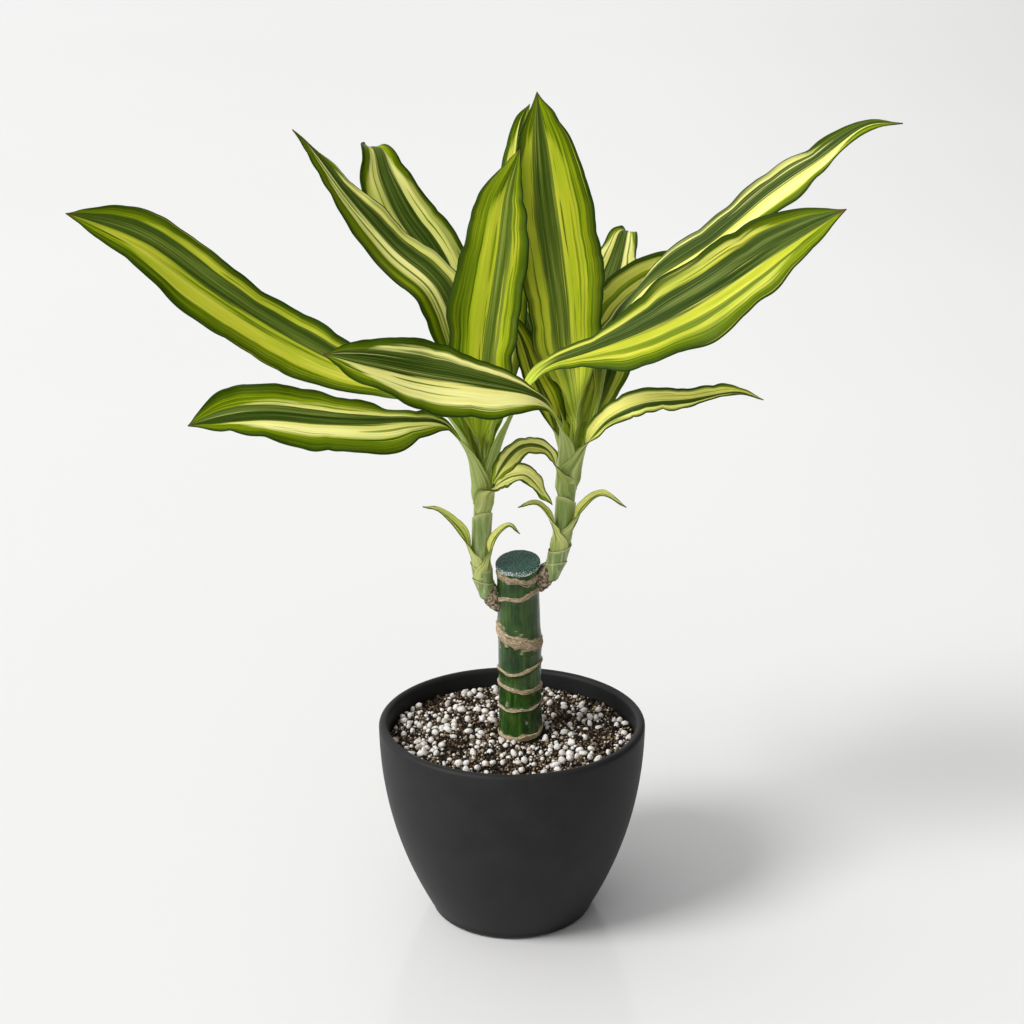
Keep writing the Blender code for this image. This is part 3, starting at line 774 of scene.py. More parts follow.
# shoot, at, side: which shoot, at what height in mm, and to which side in degrees
# midrib, face: places in mm along its middle, and the way its upper face looks along that line
# width in mm at widest (a share of the length), lopsided where the two halves differ
# neck: width in mm above the foot; stalk: share of the length that stays narrow; tip: bluntness
# bend: degrees that the blade cups across its width; wave: liveliness of its margins in mm
# stripes: low lime, low dark, high dark and high lime limits, -1 to 1 across the blade
# streaks: middle, half width, start and end; pale: lime 0 to cream 1; green: unstriped share
leafShapes = {
    "small_leaf_left_outer": {
        "stripes": (-0.97, -0.2, 0.12, 0.97), "pale": 1.0, "green": 0.35,
        "shoot": "left", "at": 196, "side": 205, "width": 7.5, "widest": 0.35, "bend": 90, "wave": 0.4,
        "midrib": [(-25, -6, 214), (-36, -8, 226), (-45, -8, 228)],
        "face": [(0.5, -0.6, 0.6), (0.3, -0.6, 0.8), (0, -0.3, 1)]},
    "small_leaf_left_inner": {
        "stripes": (-0.97, -0.2, 0.12, 0.97), "pale": 1.0, "green": 0.35,
        "shoot": "left", "at": 190, "side": -55, "width": 7.5, "widest": 0.35, "bend": 90, "wave": 0.4,
        "midrib": [(-10, -9, 210), (-2, -13, 220), (4, -15, 216)],
        "face": [(-0.7, -0.6, 0.5), (-0.3, -0.5, 0.8), (0.4, -0.3, 1)]},
    "clasping_leaf_left": {
        "stripes": (-0.85, -0.1, 0.2, 0.8), "pale": 0.95, "green": 0.15,
        "shoot": "left", "at": 230, "side": -60, "width": 11, "widest": 0.5, "bend": 60, "wave": 2.0,
        "midrib": [(-6, -13, 243), (1, -18, 248), (9, -22, 248), (20, -26, 235)],
        "face": [(-0.8, -0.4, 0.6), (0, -0.8, 0.7), (0.6, -0.9, 0.4)]},
    "leaf_low_left": {
        "stripes": (-0.50, -0.10, 0.42, 0.56), "pale": 0.85, "neck": 7, "tip": 2.0,
        "lopsided": (0.5, 0.84), "stalk": 0.2,
        "shoot": "left", "at": 236, "side": 226, "width": 36, "widest": 0.6, "bend": 40, "wave": 1.2,
        "midrib": [(-22, -10, 257), (-33, -15, 273), (-50, -28, 279), (-68, -38, 281), (-91, -46, 284),
                   (-118, -54, 288), (-152, -62, 286)],
        "face": [(1, 0, 0.6), (0.2, -0.7, 0.8), (-0.1, -0.8, 0.7)]},
    "leaf_long_left": {
        "stripes": (-0.62, 0.06, 0.66, 0.84), "pale": 0.42, "tip": 2.1, "neck": 19,
        "lopsided": (0.62, 0.82),
        "shoot": "left", "at": 240, "side": 174, "width": 38, "widest": 0.62, "bend": 40, "wave": 1.4,
        "midrib": [(-26, 2, 264), (-38, 5, 281), (-60, 8, 290), (-86, 9, 297), (-119, 10, 314),
                   (-152, 8, 337), (-181, 5, 359), (-216, 0, 375)],
        "face": [(1, -0.2, 0.6), (0.2, -0.8, 0.8), (0.3, -0.8, 0.7)]},
    "leaf_upper_left": {
        "stripes": (-0.34, 0.12, 0.76, 0.96), "pale": 0.85, "tip": 1.4, "neck": 20,
        "streaks": [(-0.06, 0.06, 0.2, 1.0)],
        "shoot": "left", "at": 246, "side": 128, "width": 37, "widest": 0.55, "bend": 50, "wave": 1.2,
        "midrib": [(-23, 13, 275), (-29, 19, 307), (-39, 24, 333), (-60, 29, 351), (-83, 34, 377),
                   (-100, 38, 400), (-109, 38, 410)],
        "face": [(0.8, -0.5, 0.3), (0.55, -0.55, 0.6), (0.45, -0.5, 0.7)]},
    "leaf_bent_left": {
        "stripes": (-0.84, -0.20, 0.42, 0.82), "pale": 0.8, "tip": 2.3, "neck": 20,
        "shoot": "left", "at": 253, "side": 76, "width": 37, "widest": 0.62, "bend": 30, "wave": 1.2,
        "midrib": [(-14, 29, 280), (-29, 47, 313), (-39, 57, 339), (-55, 63, 361), (-65, 67, 381),
                   (-70, 74, 395), (-78, 88, 394)],
        "face": [(0.5, -0.9, 0.2), (0.5, -0.85, 0.3), (0.5, -0.85, 0.2)]},
    "leaf_back_left": {
        "stripes": (-0.80, -0.30, 0.20, 0.60), "pale": 0.8, "tip": 3.0,
        "shoot": "left", "at": 257, "side": 25, "width": 22, "widest": 0.5, "bend": 40, "wave": 1.0,
        "midrib": [(-5, 20, 288), (-1, 38, 344), (3, 47, 392), (5, 54, 411), (9, 66, 419)],
        "face": [(-0.4, -0.9, 0.2), (-0.2, -1, 0.3), (0, -1, 0.2)]},
    "leaf_upright_left": {
        "stripes": (-0.42, -0.02, 0.46, 0.66), "pale": 0.22, "tip": 3.0, "neck": 28,
        "shoot": "left", "at": 256, "side": 150, "width": 35, "widest": 0.45, "bend": 40, "wave": 1.6,
        "midrib": [(-16, 2, 285), (-15, 3, 308), (-12, 5, 330), (-8, 9, 358), (-4, 13, 382), (4, 15, 404)],
        "face": [(-0.2, -1, 0.2), (-0.15, -1, 0.1), (-0.1, -1, 0.1)]},
    "leaf_broad_right": {
        "stripes": (-0.86, -0.66, 0.02, 0.62), "pale": 0.5, "neck": 6, "tip": 2.3,
        "streaks": [(0.36, 0.09, 0.25, 1.0)], "lopsided": (0.74, 0.6), "stalk": 0.27,
        "shoot": "left", "at": 239, "side": -20, "width": 42, "widest": 0.66, "bend": 40, "wave": 1.5,
        "midrib": [(-5, -4, 262), (3, -5, 282), (16, -8, 300), (38, -17, 311), (66, -24, 324),
                   (97, -28, 342), (126, -30, 363), (157, -28, 382)],
        "face": [(-1, 0.2, 0.5), (-0.4, -0.7, 0.8), (-0.3, -0.85, 0.6), (-0.3, -0.8, 0.6)]},
    "small_leaf_right_inner": {
        "stripes": (-0.97, -0.2, 0.12, 0.97), "pale": 1.0, "green": 0.35,
        "shoot": "right", "at": 206, "side": -125, "width": 7.5, "widest": 0.35, "bend": 90, "wave": 0.4,
        "midrib": [(19, -7, 223), (12, -11, 231), (3, -15, 230)],
        "face": [(0.6, -0.6, 0.5), (0.3, -0.4, 0.9), (0, -0.3, 1)]},
    "small_leaf_right_outer": {
        "stripes": (-0.97, -0.2, 0.12, 0.97), "pale": 1.0, "green": 0.35,
        "shoot": "right", "at": 210, "side": -45, "width": 7.5, "widest": 0.35, "bend": 90, "wave": 0.4,
        "midrib": [(35, -9, 228), (45, -14, 237), (57, -18, 231)],
        "face": [(-0.6, -0.6, 0.5), (-0.2, -0.5, 0.9), (0.3, -0.3, 1)]},
    "small_leaf_right_back": {
        "stripes": (-0.7, -0.1, 0.1, 0.7), "pale": 0.6, "green": 0.9,
        "shoot": "right", "at": 205, "side": 50, "width": 5, "widest": 0.35, "bend": 80, "wave": 0.2,
        "midrib": [(33, 9, 216), (36, 11, 221)],
        "face": [(-0.7, -0.5, 0.5), (-0.5, -0.5, 0.9), (-0.3, -0.3, 1)]},
    "clasping_leaf_right": {
        "stripes": (-0.85, -0.15, 0.3, 0.85), "pale": 0.95, "green": 0.15, "neck": 5,
        "shoot": "right", "at": 238, "side": -130, "width": 10, "widest": 0.74, "bend": 60, "wave": 2.0,
        "midrib": [(19, -14, 258), (11, -21, 264), (3, -27, 264), (-4, -33, 258), (-10, -36, 248)],
        "face": [(0.8, -0.4, 0.6), (0.1, -0.8, 0.6), (-0.6, -0.9, 0.3)]},
    "leaf_arching_right": {
        "stripes": (-0.80, 0.10, 0.60, 0.85), "pale": 0.8,
        "shoot": "right", "at": 243, "side": -58, "width": 12, "widest": 0.45, "bend": 50, "wave": 3.0,
        "midrib": [(38, -10, 264), (48, -14, 277), (65, -19, 286), (87, -23, 289), (108, -26, 293),
                   (122, -27, 289)],
        "face": [(-0.8, -0.4, 0.6), (-0.2, -0.9, 0.5), (0.1, -0.8, 0.6)]},
    "leaf_front_left": {
        "stripes": (-0.66, -0.02, 0.66, 0.86), "pale": 1.0, "neck": 7, "tip": 2.0,
        "lopsided": (0.54, 0.72), "stalk": 0.27,
        "shoot": "right", "at": 246, "side": -125, "width": 39, "widest": 0.6, "bend": 40, "wave": 1.2,
        "midrib": [(25, -15, 268), (19, -26, 284), (8, -35, 294), (-14, -42, 300), (-41, -48, 305),
                   (-66, -56, 313), (-88, -60, 320)],
        "face": [(1, 0.1, 0.4), (0.4, -0.7, 0.7), (0.1, -0.8, 0.7)]},
    "leaf_long_right": {
        "stripes": (-0.94, -0.84, -0.08, 0.56), "pale": 0.85, "tip": 1.5, "neck": 9,
        "shoot": "right", "at": 246, "side": 0, "width": 25, "widest": 0.7, "bend": 50, "wave": 1.8,
        "midrib": [(43, 0, 281), (49, 9, 310), (66, 14, 335), (98, 15, 357), (126, 14, 381), (150, 12, 399),
                   (170, 10, 415), (188, 8, 417)],
        "face": [(-1, -0.2, 0.5), (-0.6, -0.5, 0.6), (-0.5, -0.5, 0.8)]},
    "leaf_mid_right": {
        "stripes": (-0.86, 0.05, 0.50, 0.80), "pale": 0.62, "tip": 2.3, "neck": 20,
        "streaks": [(-0.50, 0.10, 0.1, 0.95), (-0.14, 0.13, 0.1, 0.95)],
        "shoot": "right", "at": 253, "side": 57, "width": 38, "widest": 0.55, "bend": 50, "wave": 1.4,
        "midrib": [(44, 11, 287), (51, 26, 313), (66, 35, 328), (91, 42, 339), (115, 46, 352)],
        "face": [(-0.6, -0.75, 0.4), (-0.4, -0.85, 0.5), (-0.3, -0.8, 0.6)]},
    "leaf_back_right": {
        "stripes": (-0.95, -0.42, 0.32, 0.92), "pale": 0.95, "tip": 2.4, "neck": 20,
        "shoot": "right", "at": 261, "side": 112, "width": 31, "widest": 0.5, "bend": 24, "wave": 2.0,
        "midrib": [(33, 32, 289), (46, 58, 316), (55, 82, 336), (60, 96, 348), (64, 110, 343)],
        "face": [(-0.3, -1, 0.4), (-0.2, -0.8, 0.8), (-0.1, -0.6, 1)]},
    "leaf_inner_back": {
        "stripes": (-0.70, -0.25, 0.30, 0.60), "pale": 0.5, "neck": 20,
        "shoot": "right", "at": 257, "side": 135, "width": 32, "widest": 0.5, "bend": 50, "wave": 1.0,
        "midrib": [(24, 22, 276), (15, 40, 296), (8, 56, 311), (2, 70, 322)],
        "face": [(0.4, -0.9, 0.4), (0.3, -0.7, 0.8), (0.2, -0.6, 0.9)]},
    "leaf_inner_left": {
        "stripes": (-0.75, -0.20, 0.30, 0.70), "pale": 0.4,
        "shoot": "right", "at": 250, "side": 203, "width": 20, "widest": 0.5, "bend": 60, "wave": 0.8,
        "midrib": [(20, 1, 275), (12, 8, 291), (5, 14, 310), (-5, 19, 326)],
        "face": [(0.9, -0.6, 0.5), (0.7, -0.7, 0.6), (0.6, -0.6, 0.8)]},
    "leaf_tall_centre": {
        "stripes": (-0.86, -0.46, 0.16, 0.56), "pale": 0.33, "tip": 2.7, "neck": 24,
        "shoot": "right", "at": 264, "side": 25, "width": 42, "widest": 0.55, "bend": 35, "wave": 1.5,
        "midrib": [(31, 8, 285), (28, 9, 306), (26, 12, 331), (22, 16, 361), (17, 18, 395), (12, 16, 431)],
        "face": [(0, -1, 0.2), (0, -1, 0.1), (-0.05, -1, 0.1)]},
}
leafMake = {
    "across": 28, "along": 140, "smallBelow": 10, "smallAcross": 16, "smallAlong": 80,
    "pathSteps": 90, "thickness": 0.55 * mm, "innerGap": 0.35 * mm, "gapStep": 0.16 * mm,
    "sheath": 10 * mm, "wrapLow": math.radians(300), "wrapTop": math.radians(175), "neck": 16,
    "taper": 15 * mm, "opening": 0.3, "openingLeast": 22 * mm, "groove": 0.5 * mm, "ripple": 0.3 * mm,
    "channel": 15 * mm, "nearMm": 22, "smallSheathWidth": 14, "liveWidth": 26,
}
# colour ramps by tone, and plain tints, of the blade
leafLook = {
    "dark": [(0.36, (0.017, 0.038, 0.002)), (0.5, (0.054, 0.090, 0.009)), (0.63, (0.180, 0.230, 0.042))],
    "olive": [(0.36, (0.068, 0.112, 0.005)), (0.5, (0.140, 0.200, 0.014)), (0.63, (0.280, 0.335, 0.038))],
    "lime": [(0, (0.42, 0.45, 0.010)), (0.5, (0.65, 0.62, 0.060)), (1, (1.0, 0.95, 0.38))],
    "margin": [(0.36, (0.044, 0.084, 0.001)), (0.5, (0.165, 0.238, 0.002)), (0.63, (0.42, 0.48, 0.005))],
    # the upper-face foot ramp is lighter than the leaf's own lime green: painted glow where the funnels lie
    # in shade
    "freshUpperAndGlow": [(0.38, (0.26, 0.38, 0.025)), (0.5, (0.56, 0.68, 0.060)), (0.62, (0.86, 0.90, 0.20))],
    "freshUnder": [(0.38, (0.17, 0.25, 0.075)), (0.5, (0.38, 0.46, 0.14)), (0.62, (0.70, 0.74, 0.30))],
    "limeSoft": (0.30, 0.40, 0.012), "limePatch": (0.33, 0.43, 0.010), "marginDeep": (0.016, 0.040, 0.001),
    "streak": (0.07, 0.14, 0.005), "dash": (0.05, 0.12, 0.008), "tip": (0.10, 0.06, 0.02),
    "rimStriped": (0.016, 0.040, 0.006), "rimFresh": (0.36, 0.42, 0.10), "under": (0.30, 0.38, 0.11),
    "roughUpper": 0.45, "roughUnder": 0.52, "specular": 0.18, "ior": 1.26,
    "scatter": 0.4, "scatterRadius": (0.7, 1.0, 0.2), "scatterScale": 0.0016,
}


def leafMaterial(name, under):
    rough = leafLook["roughUnder"] if under else leafLook["roughUpper"]
    material, tree, shader = newMaterial(name, rough, leafLook["specular"])
    shader.inputs["IOR"].default_value = leafLook["ior"]
    link = tree.links.new
    across, along = attributeValue(tree, "across"), attributeValue(tree, "along")
    pale = attributeValue(tree, "pale")
    blade = addNode(tree, "ShaderNodeCombineXYZ")
    link(times(tree, attributeValue(tree, "acrossMm"), 0.1), blade.inputs[0])
    link(times(tree, attributeValue(tree, "alongMm"), 0.1), blade.inputs[1])
    link(times(tree, attributeValue(tree, "seed"), 37.0), blade.inputs[2])

    def streaks(widthScale, lengthScale, detail, offset):
        mapping = addNode(tree, "ShaderNodeMapping")
        mapping.inputs["Scale"].default_value = (widthScale, lengthScale, 1)
        mapping.inputs["Location"].default_value = (offset, offset * 0.7, offset)
        link(blade.outputs[0], mapping.inputs["Vector"])
        return noiseNode(tree, mapping.outputs[0], 1.0, detail, 0.55)

    broad = streaks(1.5, 0.06, 2, 3.1)
    middle = streaks(4.5, 0.11, 3, 7.7)
    fine = streaks(15.0, 0.10, 3, 1.3)
    tone = plus(tree, times(tree, middle, 0.55), times(tree, fine, 0.45))
    drift = plus(tree, spread(tree, broad, 0.2), spread(tree, middle, 0.34))

    # the lime or cream field, with softer green running into it
    fresh = mathNode(tree, "SUBTRACT", 1.0, times(tree, pale, 0.75))
    paleHere = plus(tree, pale, spread(tree, streaks(2.0, 0.05, 2, 91.0), 1.1), True)
    lime = rampNode(tree, paleHere, leafLook["lime"])
    softShare = times(tree, fresh, maskNode(tree, fine, 0.40, 0.62, 0, 0.45))
    field = mixNode(tree, softShare, lime, leafLook["limeSoft"])
    patch = maskNode(tree, streaks(1.3, 0.22, 2, 63.0), 0.42, 0.66, 0.75, soft=True)
    field = mixNode(tree, times(tree, patch, fresh), field, leafLook["limePatch"])

    # the green margin, deeper towards its edge, meets the field along a wandering line
    rim = mathNode(tree, "ABSOLUTE", across)
    deepShare = maskNode(tree, plus(tree, rim, spread(tree, middle, 0.3)), 0.66, 0.96, 0.9)
    margin = mixNode(tree, deepShare, rampNode(tree, tone, leafLook["margin"]), leafLook["marginDeep"])
    limeIn = plus(tree, attributeValue(tree, "limeIn"), times(tree, drift, 1.2))
    fieldStops = [(0.46, grey(0)), (0.5, grey(0.35)), (0.60, grey(1))]
    fieldShare = rampNode(tree, plus(tree, limeIn, 0.5), fieldStops)
    colour = mixNode(tree, fieldShare, margin, field)

    # green streaks and dashes in the field, then the dark band and pale hairlines over all
    streakIn = plus(tree, attributeValue(tree, "streakIn"), spread(tree, middle, 0.10))
    streakTone = mixNode(tree, 0.3, margin, leafLook["streak"])
    colour = mixNode(tree, maskNode(tree, streakIn, 0.0, 0.02, 0.9), colour, streakTone)
    dashShare = maskNode(tree, streaks(5.5, 0.14, 2, 21.0), 0.63, 0.67, 0.9)
    colour = mixNode(tree, dashShare, colour, mixNode(tree, 0.5, margin, leafLook["dash"]))
    darkIn = plus(tree, attributeValue(tree, "darkIn"), drift)
    oliveShare = maskNode(tree, pale, 0.1, 0.5, 0, 0.75)
    dark = mixNode(tree, oliveShare, rampNode(tree, tone, leafLook["dark"]),
                   rampNode(tree, tone, leafLook["olive"]))
    colour = mixNode(tree, maskNode(tree, darkIn, 0.0, 0.05), colour, dark)
    lightShare = maskNode(tree, streaks(6.0, 0.08, 2, 43.0), 0.66, 0.71, 0.65)
    colour = mixNode(tree, lightShare, colour, lime)

    # the unstriped foot (on the upper face brightened as painted glow in the shaded funnels), the thin rim,
    # the dry tip and the duller underside
    greenShare = attributeValue(tree, "green")
    # the foot colour: its own green on the underside, its own green with painted glow on the upper face
    footGreenAndGlow = rampNode(tree, tone, leafLook["freshUnder" if under else "freshUpperAndGlow"])
    colour = mixNode(tree, greenShare, colour, footGreenAndGlow)
    rimTone = mixNode(tree, greenShare, leafLook["rimStriped"], leafLook["rimFresh"])
    colour = mixNode(tree, maskNode(tree, rim, 0.955, 0.985, 0.85), colour, rimTone)
    colour = mixNode(tree, maskNode(tree, along, 0.975, 0.995, 0.9), colour, leafLook["tip"])
    if under:
        colour = mixNode(tree, 0.3, colour, leafLook["under"])
    setColour(tree, shader, colour)
    shader.inputs["Subsurface Weight"].default_value = leafLook["scatter"]
    shader.inputs["Subsurface Radius"].default_value = leafLook["scatterRadius"]
    shader.inputs["Subsurface Scale"].default_value = leafLook["scatterScale"]
    addBump(tree, shader, plus(tree, fine, times(tree, middle, 0.6)), 0.25, 0.0006)
    return material


leafFinish = [leafMaterial("leafUpper", False), leafMaterial("leafUnder", True)]


def leafPath(leaf, gap):
    side = math.radians(leaf["side"])
    out = Vector((math.cos(side), math.sin(side), 0))
    at = leaf["at"] * mm
    sheath = leafMake["sheath"] * min(1, leaf["width"] / leafMake["smallSheathWidth"])
    points = []
    for rise, stand in ((-sheath, -0.4 * mm - gap), (-sheath * 0.4, 0), (0, 0), (5 * mm, 1.0 * mm)):
        centre, radius = shootAt(leaf["shoot"], at + rise)
        points.append(centre + out * (max(radius, 2.6 * mm) + gap + stand))
    points += [Vector(point) * mm for point in leaf["midrib"]]
    path, length = evenSteps(points, leafMake["pathSteps"])
    return path, length, sheath / length, out


def leafWidth(leaf, s, foot, wrapped, length, half):
    # width as if both halves were like this one (0 for the u < 0 half, 1 for the other)
    full = leaf["width"] * mm
    neck = min(leaf.get("neck", leafMake["neck"]) * mm, full * 0.85)
    taper = leafMake["taper"] * min(1, leaf["width"] / leafMake["smallSheathWidth"]) / length
    stalk = foot + max(leaf.get("stalk", 0), taper)
    if s < stalk:
        channel = neck
        if "stalk" in leaf:
            channel += (leafMake["channel"] - neck) * (1 - smooth((s - foot) / (stalk - foot)))
        return wrapped + (channel - wrapped) * smooth((s - foot) / taper)
    widest = max(leaf.get("lopsided", (leaf["widest"],) * 2)[half], stalk + 0.05)
    if s < widest:
        return neck + (full - neck) * smooth((s - stalk) / (widest - stalk)) ** 0.85
    run = (s - widest) / (1 - widest)
    pinch = 1 - 0.3 * smooth((run - 0.86) / 0.13)
    return full * (1 - run ** leaf.get("tip", 2.0)) * pinch + 0.25 * mm


def leafStripes(leaf, u, s):
    # how far a place lies inside the dark band and inside the lime field, and how green its foot is
    lowLime, lowDark, highDark, highLime = leaf["stripes"]
    darkIn = min(u - lowDark, highDark - u) - 0.12 * smooth((0.25 - s) / 0.25)
    limeIn = min(u - lowLime, highLime - u)
    limeIn += 0.1 * smooth((0.3 - s) / 0.3) - 0.6 * smooth((s - 0.78) / 0.22)
    if "stalk" in leaf:
        foot = smooth((leaf["stalk"] + 0.09 - s) / 0.09)
    else:
        foot = smooth((0.36 - s) / 0.30)
    green = max(leaf.get("green", 0) * (1 - 0.5 * s), 0.95 * foot)
    return darkIn, limeIn, green


def leafStreaks(leaf, rng):
    # green streaks inside the lime fields: middle, half width, start and end along the leaf
    lowLime, lowDark, highDark, highLime = leaf["stripes"]
    streaks = list(leaf.get("streaks", []))
    for low, high in ((lowLime, lowDark), (highDark, highLime)):
        for _ in range(int((high - low) * 5)):
            start = rng.uniform(0.12, 0.6)
            streaks.append((rng.uniform(low + 0.06, high - 0.02), rng.uniform(0.025, 0.06), start,
                            start + rng.uniform(0.2, 0.5)))
    return streaks


def streakDepth(streaks, u, s):
    depth = -1.0
    for middle, half, start, end in streaks:
        if start < s < end:
            taper = math.sin(math.pi * (s - start) / (end - start)) ** 0.6
            depth = max(depth, half * taper - abs(u - middle))
    return depth


def edgeWave(seed, side, s):
    # the rise and fall of one margin: long waves and small ones
    return (1.6 * wobble(s * 4 + seed, side + 2) + 1.3 * wobble(s * 10 + seed, side + 5)
            + 0.35 * wobble(s * 27 + seed, side + 8))


def edgeKink(seed, side, s):
    # small cusps in the outline of one margin
    return 2.9 * abs(wobble(s * 5 + seed, side + 12)) + 1.5 * abs(wobble(s * 13 + seed, side + 15)) - 0.8


def makeLeaf(name, leaf, seed, gap):
    path, length, foot, out = leafPath(leaf, gap)
    _, shootRadius = shootAt(leaf["shoot"], leaf["at"] * mm)
    faces = [Vector(face) for face in leaf["face"]]
    opening = foot + max(leafMake["opening"], leafMake["openingLeast"] / length)
    wrapLow, wrapTop = leafMake["wrapLow"], leafMake["wrapTop"]
    bladeBend = math.radians(leaf["bend"])
    liveliness = leaf["wave"] * min(1, leaf["width"] / leafMake["liveWidth"]) * mm
    streaks = leafStreaks(leaf, random.Random(seed))
    small = leaf["width"] < leafMake["smallBelow"]
    across = leafMake["smallAcross" if small else "across"]
    along = leafMake["smallAlong" if small else "along"]
    bm = bmesh.new()
    bmesh.ops.create_grid(bm, x_segments=across, y_segments=along, size=1)
    keys = ("across", "along", "acrossMm", "alongMm", "seed", "pale", "darkIn", "limeIn", "green", "streakIn")
    layers = [bm.verts.layers.float.new(key) for key in keys]
    for vert in bm.verts:
        u, s = vert.co.x, (vert.co.y + 1) / 2  # across from -1 to 1, along from 0 to 1
        forward = (blendList(path, min(1, s + 0.015)) - blendList(path, max(0, s - 0.015))).normalized()
        opened = smooth((s - foot) / (opening - foot))
        face = out * (opened - 1) + blendList(faces, s).normalized() * opened
        up = (face - forward * face.dot(forward)).normalized()
        side = forward.cross(up)
        # the cross section is an arc: wide round the shoot at the foot, shallow in the blade
        baseRadius = shootRadius - 0.4 * mm + (gap + 0.4 * mm) * smooth(s / foot)
        wrap = wrapLow + (wrapTop - wrapLow) * smooth(s / foot)
        bend = wrap + (bladeBend - wrap) * opened ** 0.55
        widths = [wrap * baseRadius] * 2
        if s > foot:
            widths = [leafWidth(leaf, s, foot, widths[0], length, half) for half in (0, 1)]
        edgeSide, outward = (1, 1) if u > 0 else (0, -1)
        radius = widths[edgeSide] / bend
        angle = u * bend / 2
        sag = sum(widths) / 2 / bend * (1 - math.cos(bend / 2)) / 2 * opened
        # waves and cusps of the margin, the groove of the midrib and a soft ripple
        free = opened * smooth((1 - s) / 0.07)
        wave = edgeWave(seed, edgeSide, s) * abs(u) ** 2.6 * free * liveliness
        kink = edgeKink(seed, edgeSide, s) * abs(u) ** 1.5 * free * liveliness
        rise = 1.6 * wave - leafMake["groove"] * math.exp(-(u / 0.07) ** 2) * free
        rise += leafMake["ripple"] * math.sin(u * 9 + seed) * free * (1 - abs(u))
        vert.co = (blendList(path, s) + side * (radius * math.sin(angle) + kink * outward)
                   + up * (radius * (1 - math.cos(angle)) - sag + rise))
        darkIn, limeIn, green = leafStripes(leaf, u, s)
        values = (u, max(0.0, (s - foot) / (1 - foot)), u * leaf["width"] / 2, s * length / mm,
                  seed * 0.137, leaf["pale"], darkIn, limeIn, green, streakDepth(streaks, u, s))
        for layer, value in zip(layers, values):
            vert[layer] = value
    piece = addPiece(pieceName(name), bm, leafFinish, [name])
    addSolidify(piece, leafMake["thickness"], 1)


def makeLeaves():
    # higher leaves lie inside lower ones near them, so the gap to the shoot grows downwards
    for side in ("left", "right"):
        names = [name for name in leafShapes if leafShapes[name]["shoot"] == side]
        names.sort(key=lambda name: -leafShapes[name]["at"])
        for order, name in enumerate(names):
            at = leafShapes[name]["at"]
            above = sum(1 for other in names[:order] if leafShapes[other]["at"] < at + leafMake["nearMm"])
            gap = leafMake["innerGap"] + leafMake["gapStep"] * above
            makeLeaf(name, leafShapes[name], len(name) + order * 5 + (side == "left"), gap)


makeLeaves()
print("leaves made")


# collars: scaly knobs where the shoots leave the cane

collarShape = {
    "bud_collar_left": [(-5, 0, 171), (-9, 0, 175), (-13, 0, 181)],
    "bud_collar_right": [(12, 0, 182), (15.5, 0, 186), (19.6, 0, 192)],
    "radius": 4.7 * mm, "around": 64, "rows": 40, "scale": 0.16, "lump": 0.12,
    "cork": [(0.36, (0.025, 0.016, 0.010)), (0.48, (0.17, 0.12, 0.075)), (0.62, (0.50, 0.42, 0.30))],
}


def collarMaterial():
    material, tree, shader = newMaterial("budCollar", 0.82, 0.25)
    flakes = noiseNode(tree, objectVector(tree), 620, 4, 0.65)
    setColour(tree, shader, rampNode(tree, flakes, collarShape["cork"]))
    addBump(tree, shader, flakes, 0.9, 0.001)
    return material


collarFinish = collarMaterial()


def makeCollar(node):
    points = [Vector(point) * mm for point in collarShape[node]]
    axis = points[-1] - points[0]
    length = axis.length
    turn = Matrix.Translation(points[0]) @ axis.to_track_quat("Z", "Y").to_matrix().to_4x4()
    profile = [(0, 0)]
    for i in range(collarShape["rows"] + 1):
        part = i / collarShape["rows"]
        profile.append((collarShape["radius"] * (0.86 + 0.22 * math.sin(part * math.pi)), length * part))
    profile.append((0, length))
    bm = spinProfile(profile, collarShape["around"])
    for vert in bm.verts:
        angle, part = math.atan2(vert.co.y, vert.co.x), vert.co.z / length
        scales = abs(math.sin(angle * 4 + part * 7)) * (part * 3 % 1)
        lumps = 1 + collarShape["scale"] * scales + collarShape["lump"] * noise.noise(vert.co * 420)
        vert.co.x *= lumps
        vert.co.y *= lumps
    bmesh.ops.transform(bm, matrix=turn, verts=bm.verts)
    addPiece(pieceName(node), bm, [collarFinish], [node])


makeCollar("bud_collar_left")
makeCollar("bud_collar_right")
print("collars made")


# floor, light and camera

stageLook = {
    "floorSize": 40, "floorGrey": (0.79, 0.806), "floorRoughness": 0.14, "floorIor": 1.35,
    # grey of the sky by height, and its fall from left to right
    "sky": [(0.0, 0.68), (0.12, 0.71), (0.3, 0.81), (0.75, 0.57)],
    "across": [(0.0, 1.0), (0.5, 0.70), (0.85, 0.10)], "skyStrength": 1.7,
    "keyEnergy": 2.3, "keyAngle": math.radians(23), "keyColour": (1, 0.99, 0.97),
    "keyFrom": Vector((-0.63, -0.37, 0.69)),
    "cameraPlace": (0, -0.9588, 0.5459), "cameraPitch": math.radians(-18.64), "lens": 70, "sensor": 36,
}


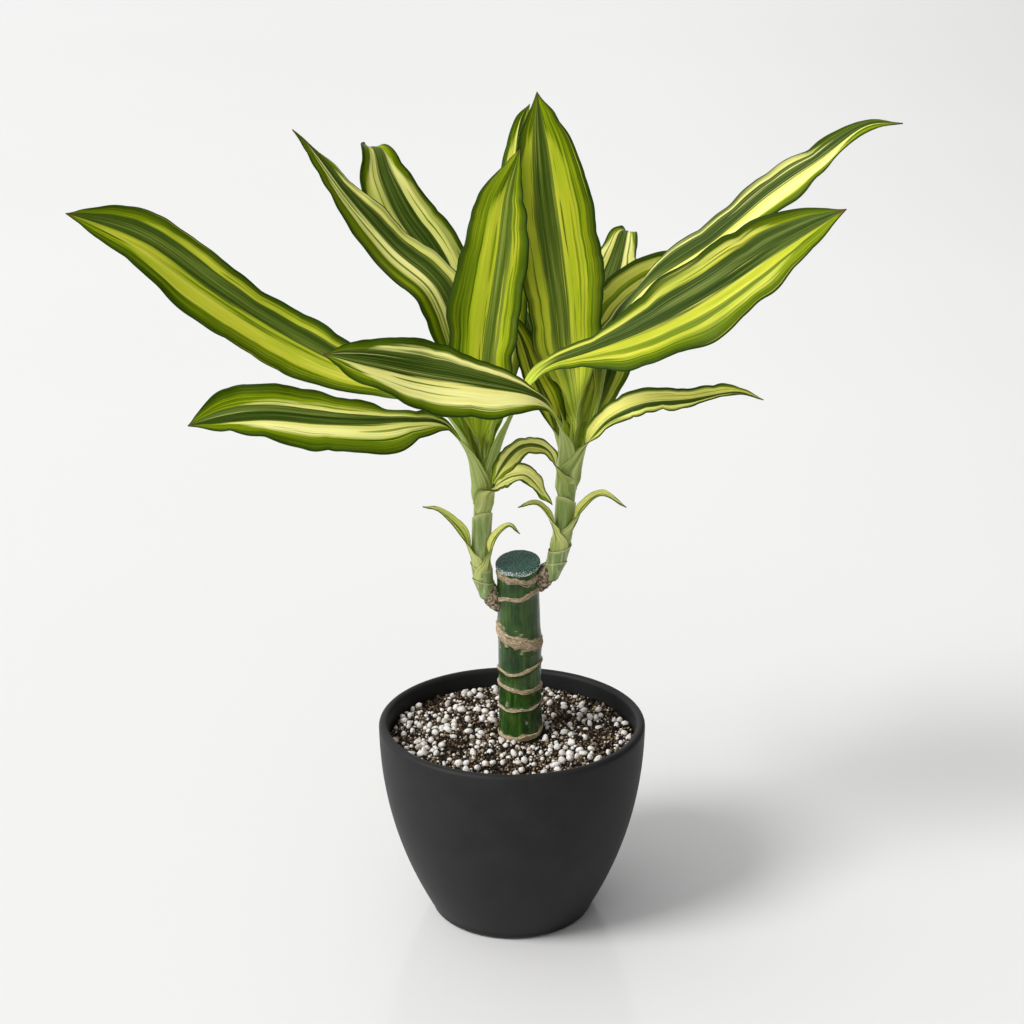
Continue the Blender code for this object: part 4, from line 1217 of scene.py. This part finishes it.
def makeFloor():
    bm = bmesh.new()
    bmesh.ops.create_grid(bm, x_segments=1, y_segments=1, size=stageLook["floorSize"])
    mesh = bpy.data.meshes.new("studioFloor")
    bm.to_mesh(mesh)
    bm.free()
    floor = bpy.data.objects.new("studioFloor", mesh)
    bpy.context.scene.collection.objects.link(floor)
    material, tree, shader = newMaterial("studioFloor", stageLook["floorRoughness"])
    darker, lighter = stageLook["floorGrey"]
    tone = noiseNode(tree, objectVector(tree), 0.7, 1)
    setColour(tree, shader, maskNode(tree, tone, 0.3, 0.7, lighter, darker))
    shader.inputs["IOR"].default_value = stageLook["floorIor"]
    mesh.materials.append(material)


def makeSky():
    world = bpy.data.worlds.new("studio")
    bpy.context.scene.world = world
    world.use_nodes = True
    tree = world.node_tree
    background = tree.nodes["Background"]
    way = addNode(tree, "ShaderNodeSeparateXYZ")
    tree.links.new(addNode(tree, "ShaderNodeTexCoord").outputs["Generated"], way.inputs[0])
    sky = rampNode(tree, way.outputs["Z"], [(place, grey(value)) for place, value in stageLook["sky"]])
    across = mathNode(tree, "MULTIPLY_ADD", way.outputs["X"], 0.5)
    across.node.inputs[2].default_value = 0.5
    shade = rampNode(tree, across, [(place, grey(value)) for place, value in stageLook["across"]], True)
    tree.links.new(mixNode(tree, 1.0, sky, shade, "MULTIPLY"), background.inputs["Color"])
    background.inputs["Strength"].default_value = stageLook["skyStrength"]


def makeKeyLight():
    key = bpy.data.lights.new("keyLight", "SUN")
    key.energy = stageLook["keyEnergy"]
    key.angle = stageLook["keyAngle"]
    key.color = stageLook["keyColour"]
    lamp = bpy.data.objects.new("keyLight", key)
    lamp.rotation_euler = stageLook["keyFrom"].to_track_quat("Z", "Y").to_euler()
    bpy.context.scene.collection.objects.link(lamp)


def makeCamera():
    lens = bpy.data.cameras.new("viewCamera")
    lens.lens = stageLook["lens"]
    lens.sensor_width = stageLook["sensor"]
    lens.clip_end = 120
    camera = bpy.data.objects.new("viewCamera", lens)
    camera.location = stageLook["cameraPlace"]
    camera.rotation_euler = (math.radians(90) + stageLook["cameraPitch"], 0, 0)
    bpy.context.scene.collection.objects.link(camera)
    bpy.context.scene.camera = camera


makeFloor()
makeSky()
makeKeyLight()
makeCamera()
bpy.context.scene.view_settings.view_transform = "Standard"
print("stage set")
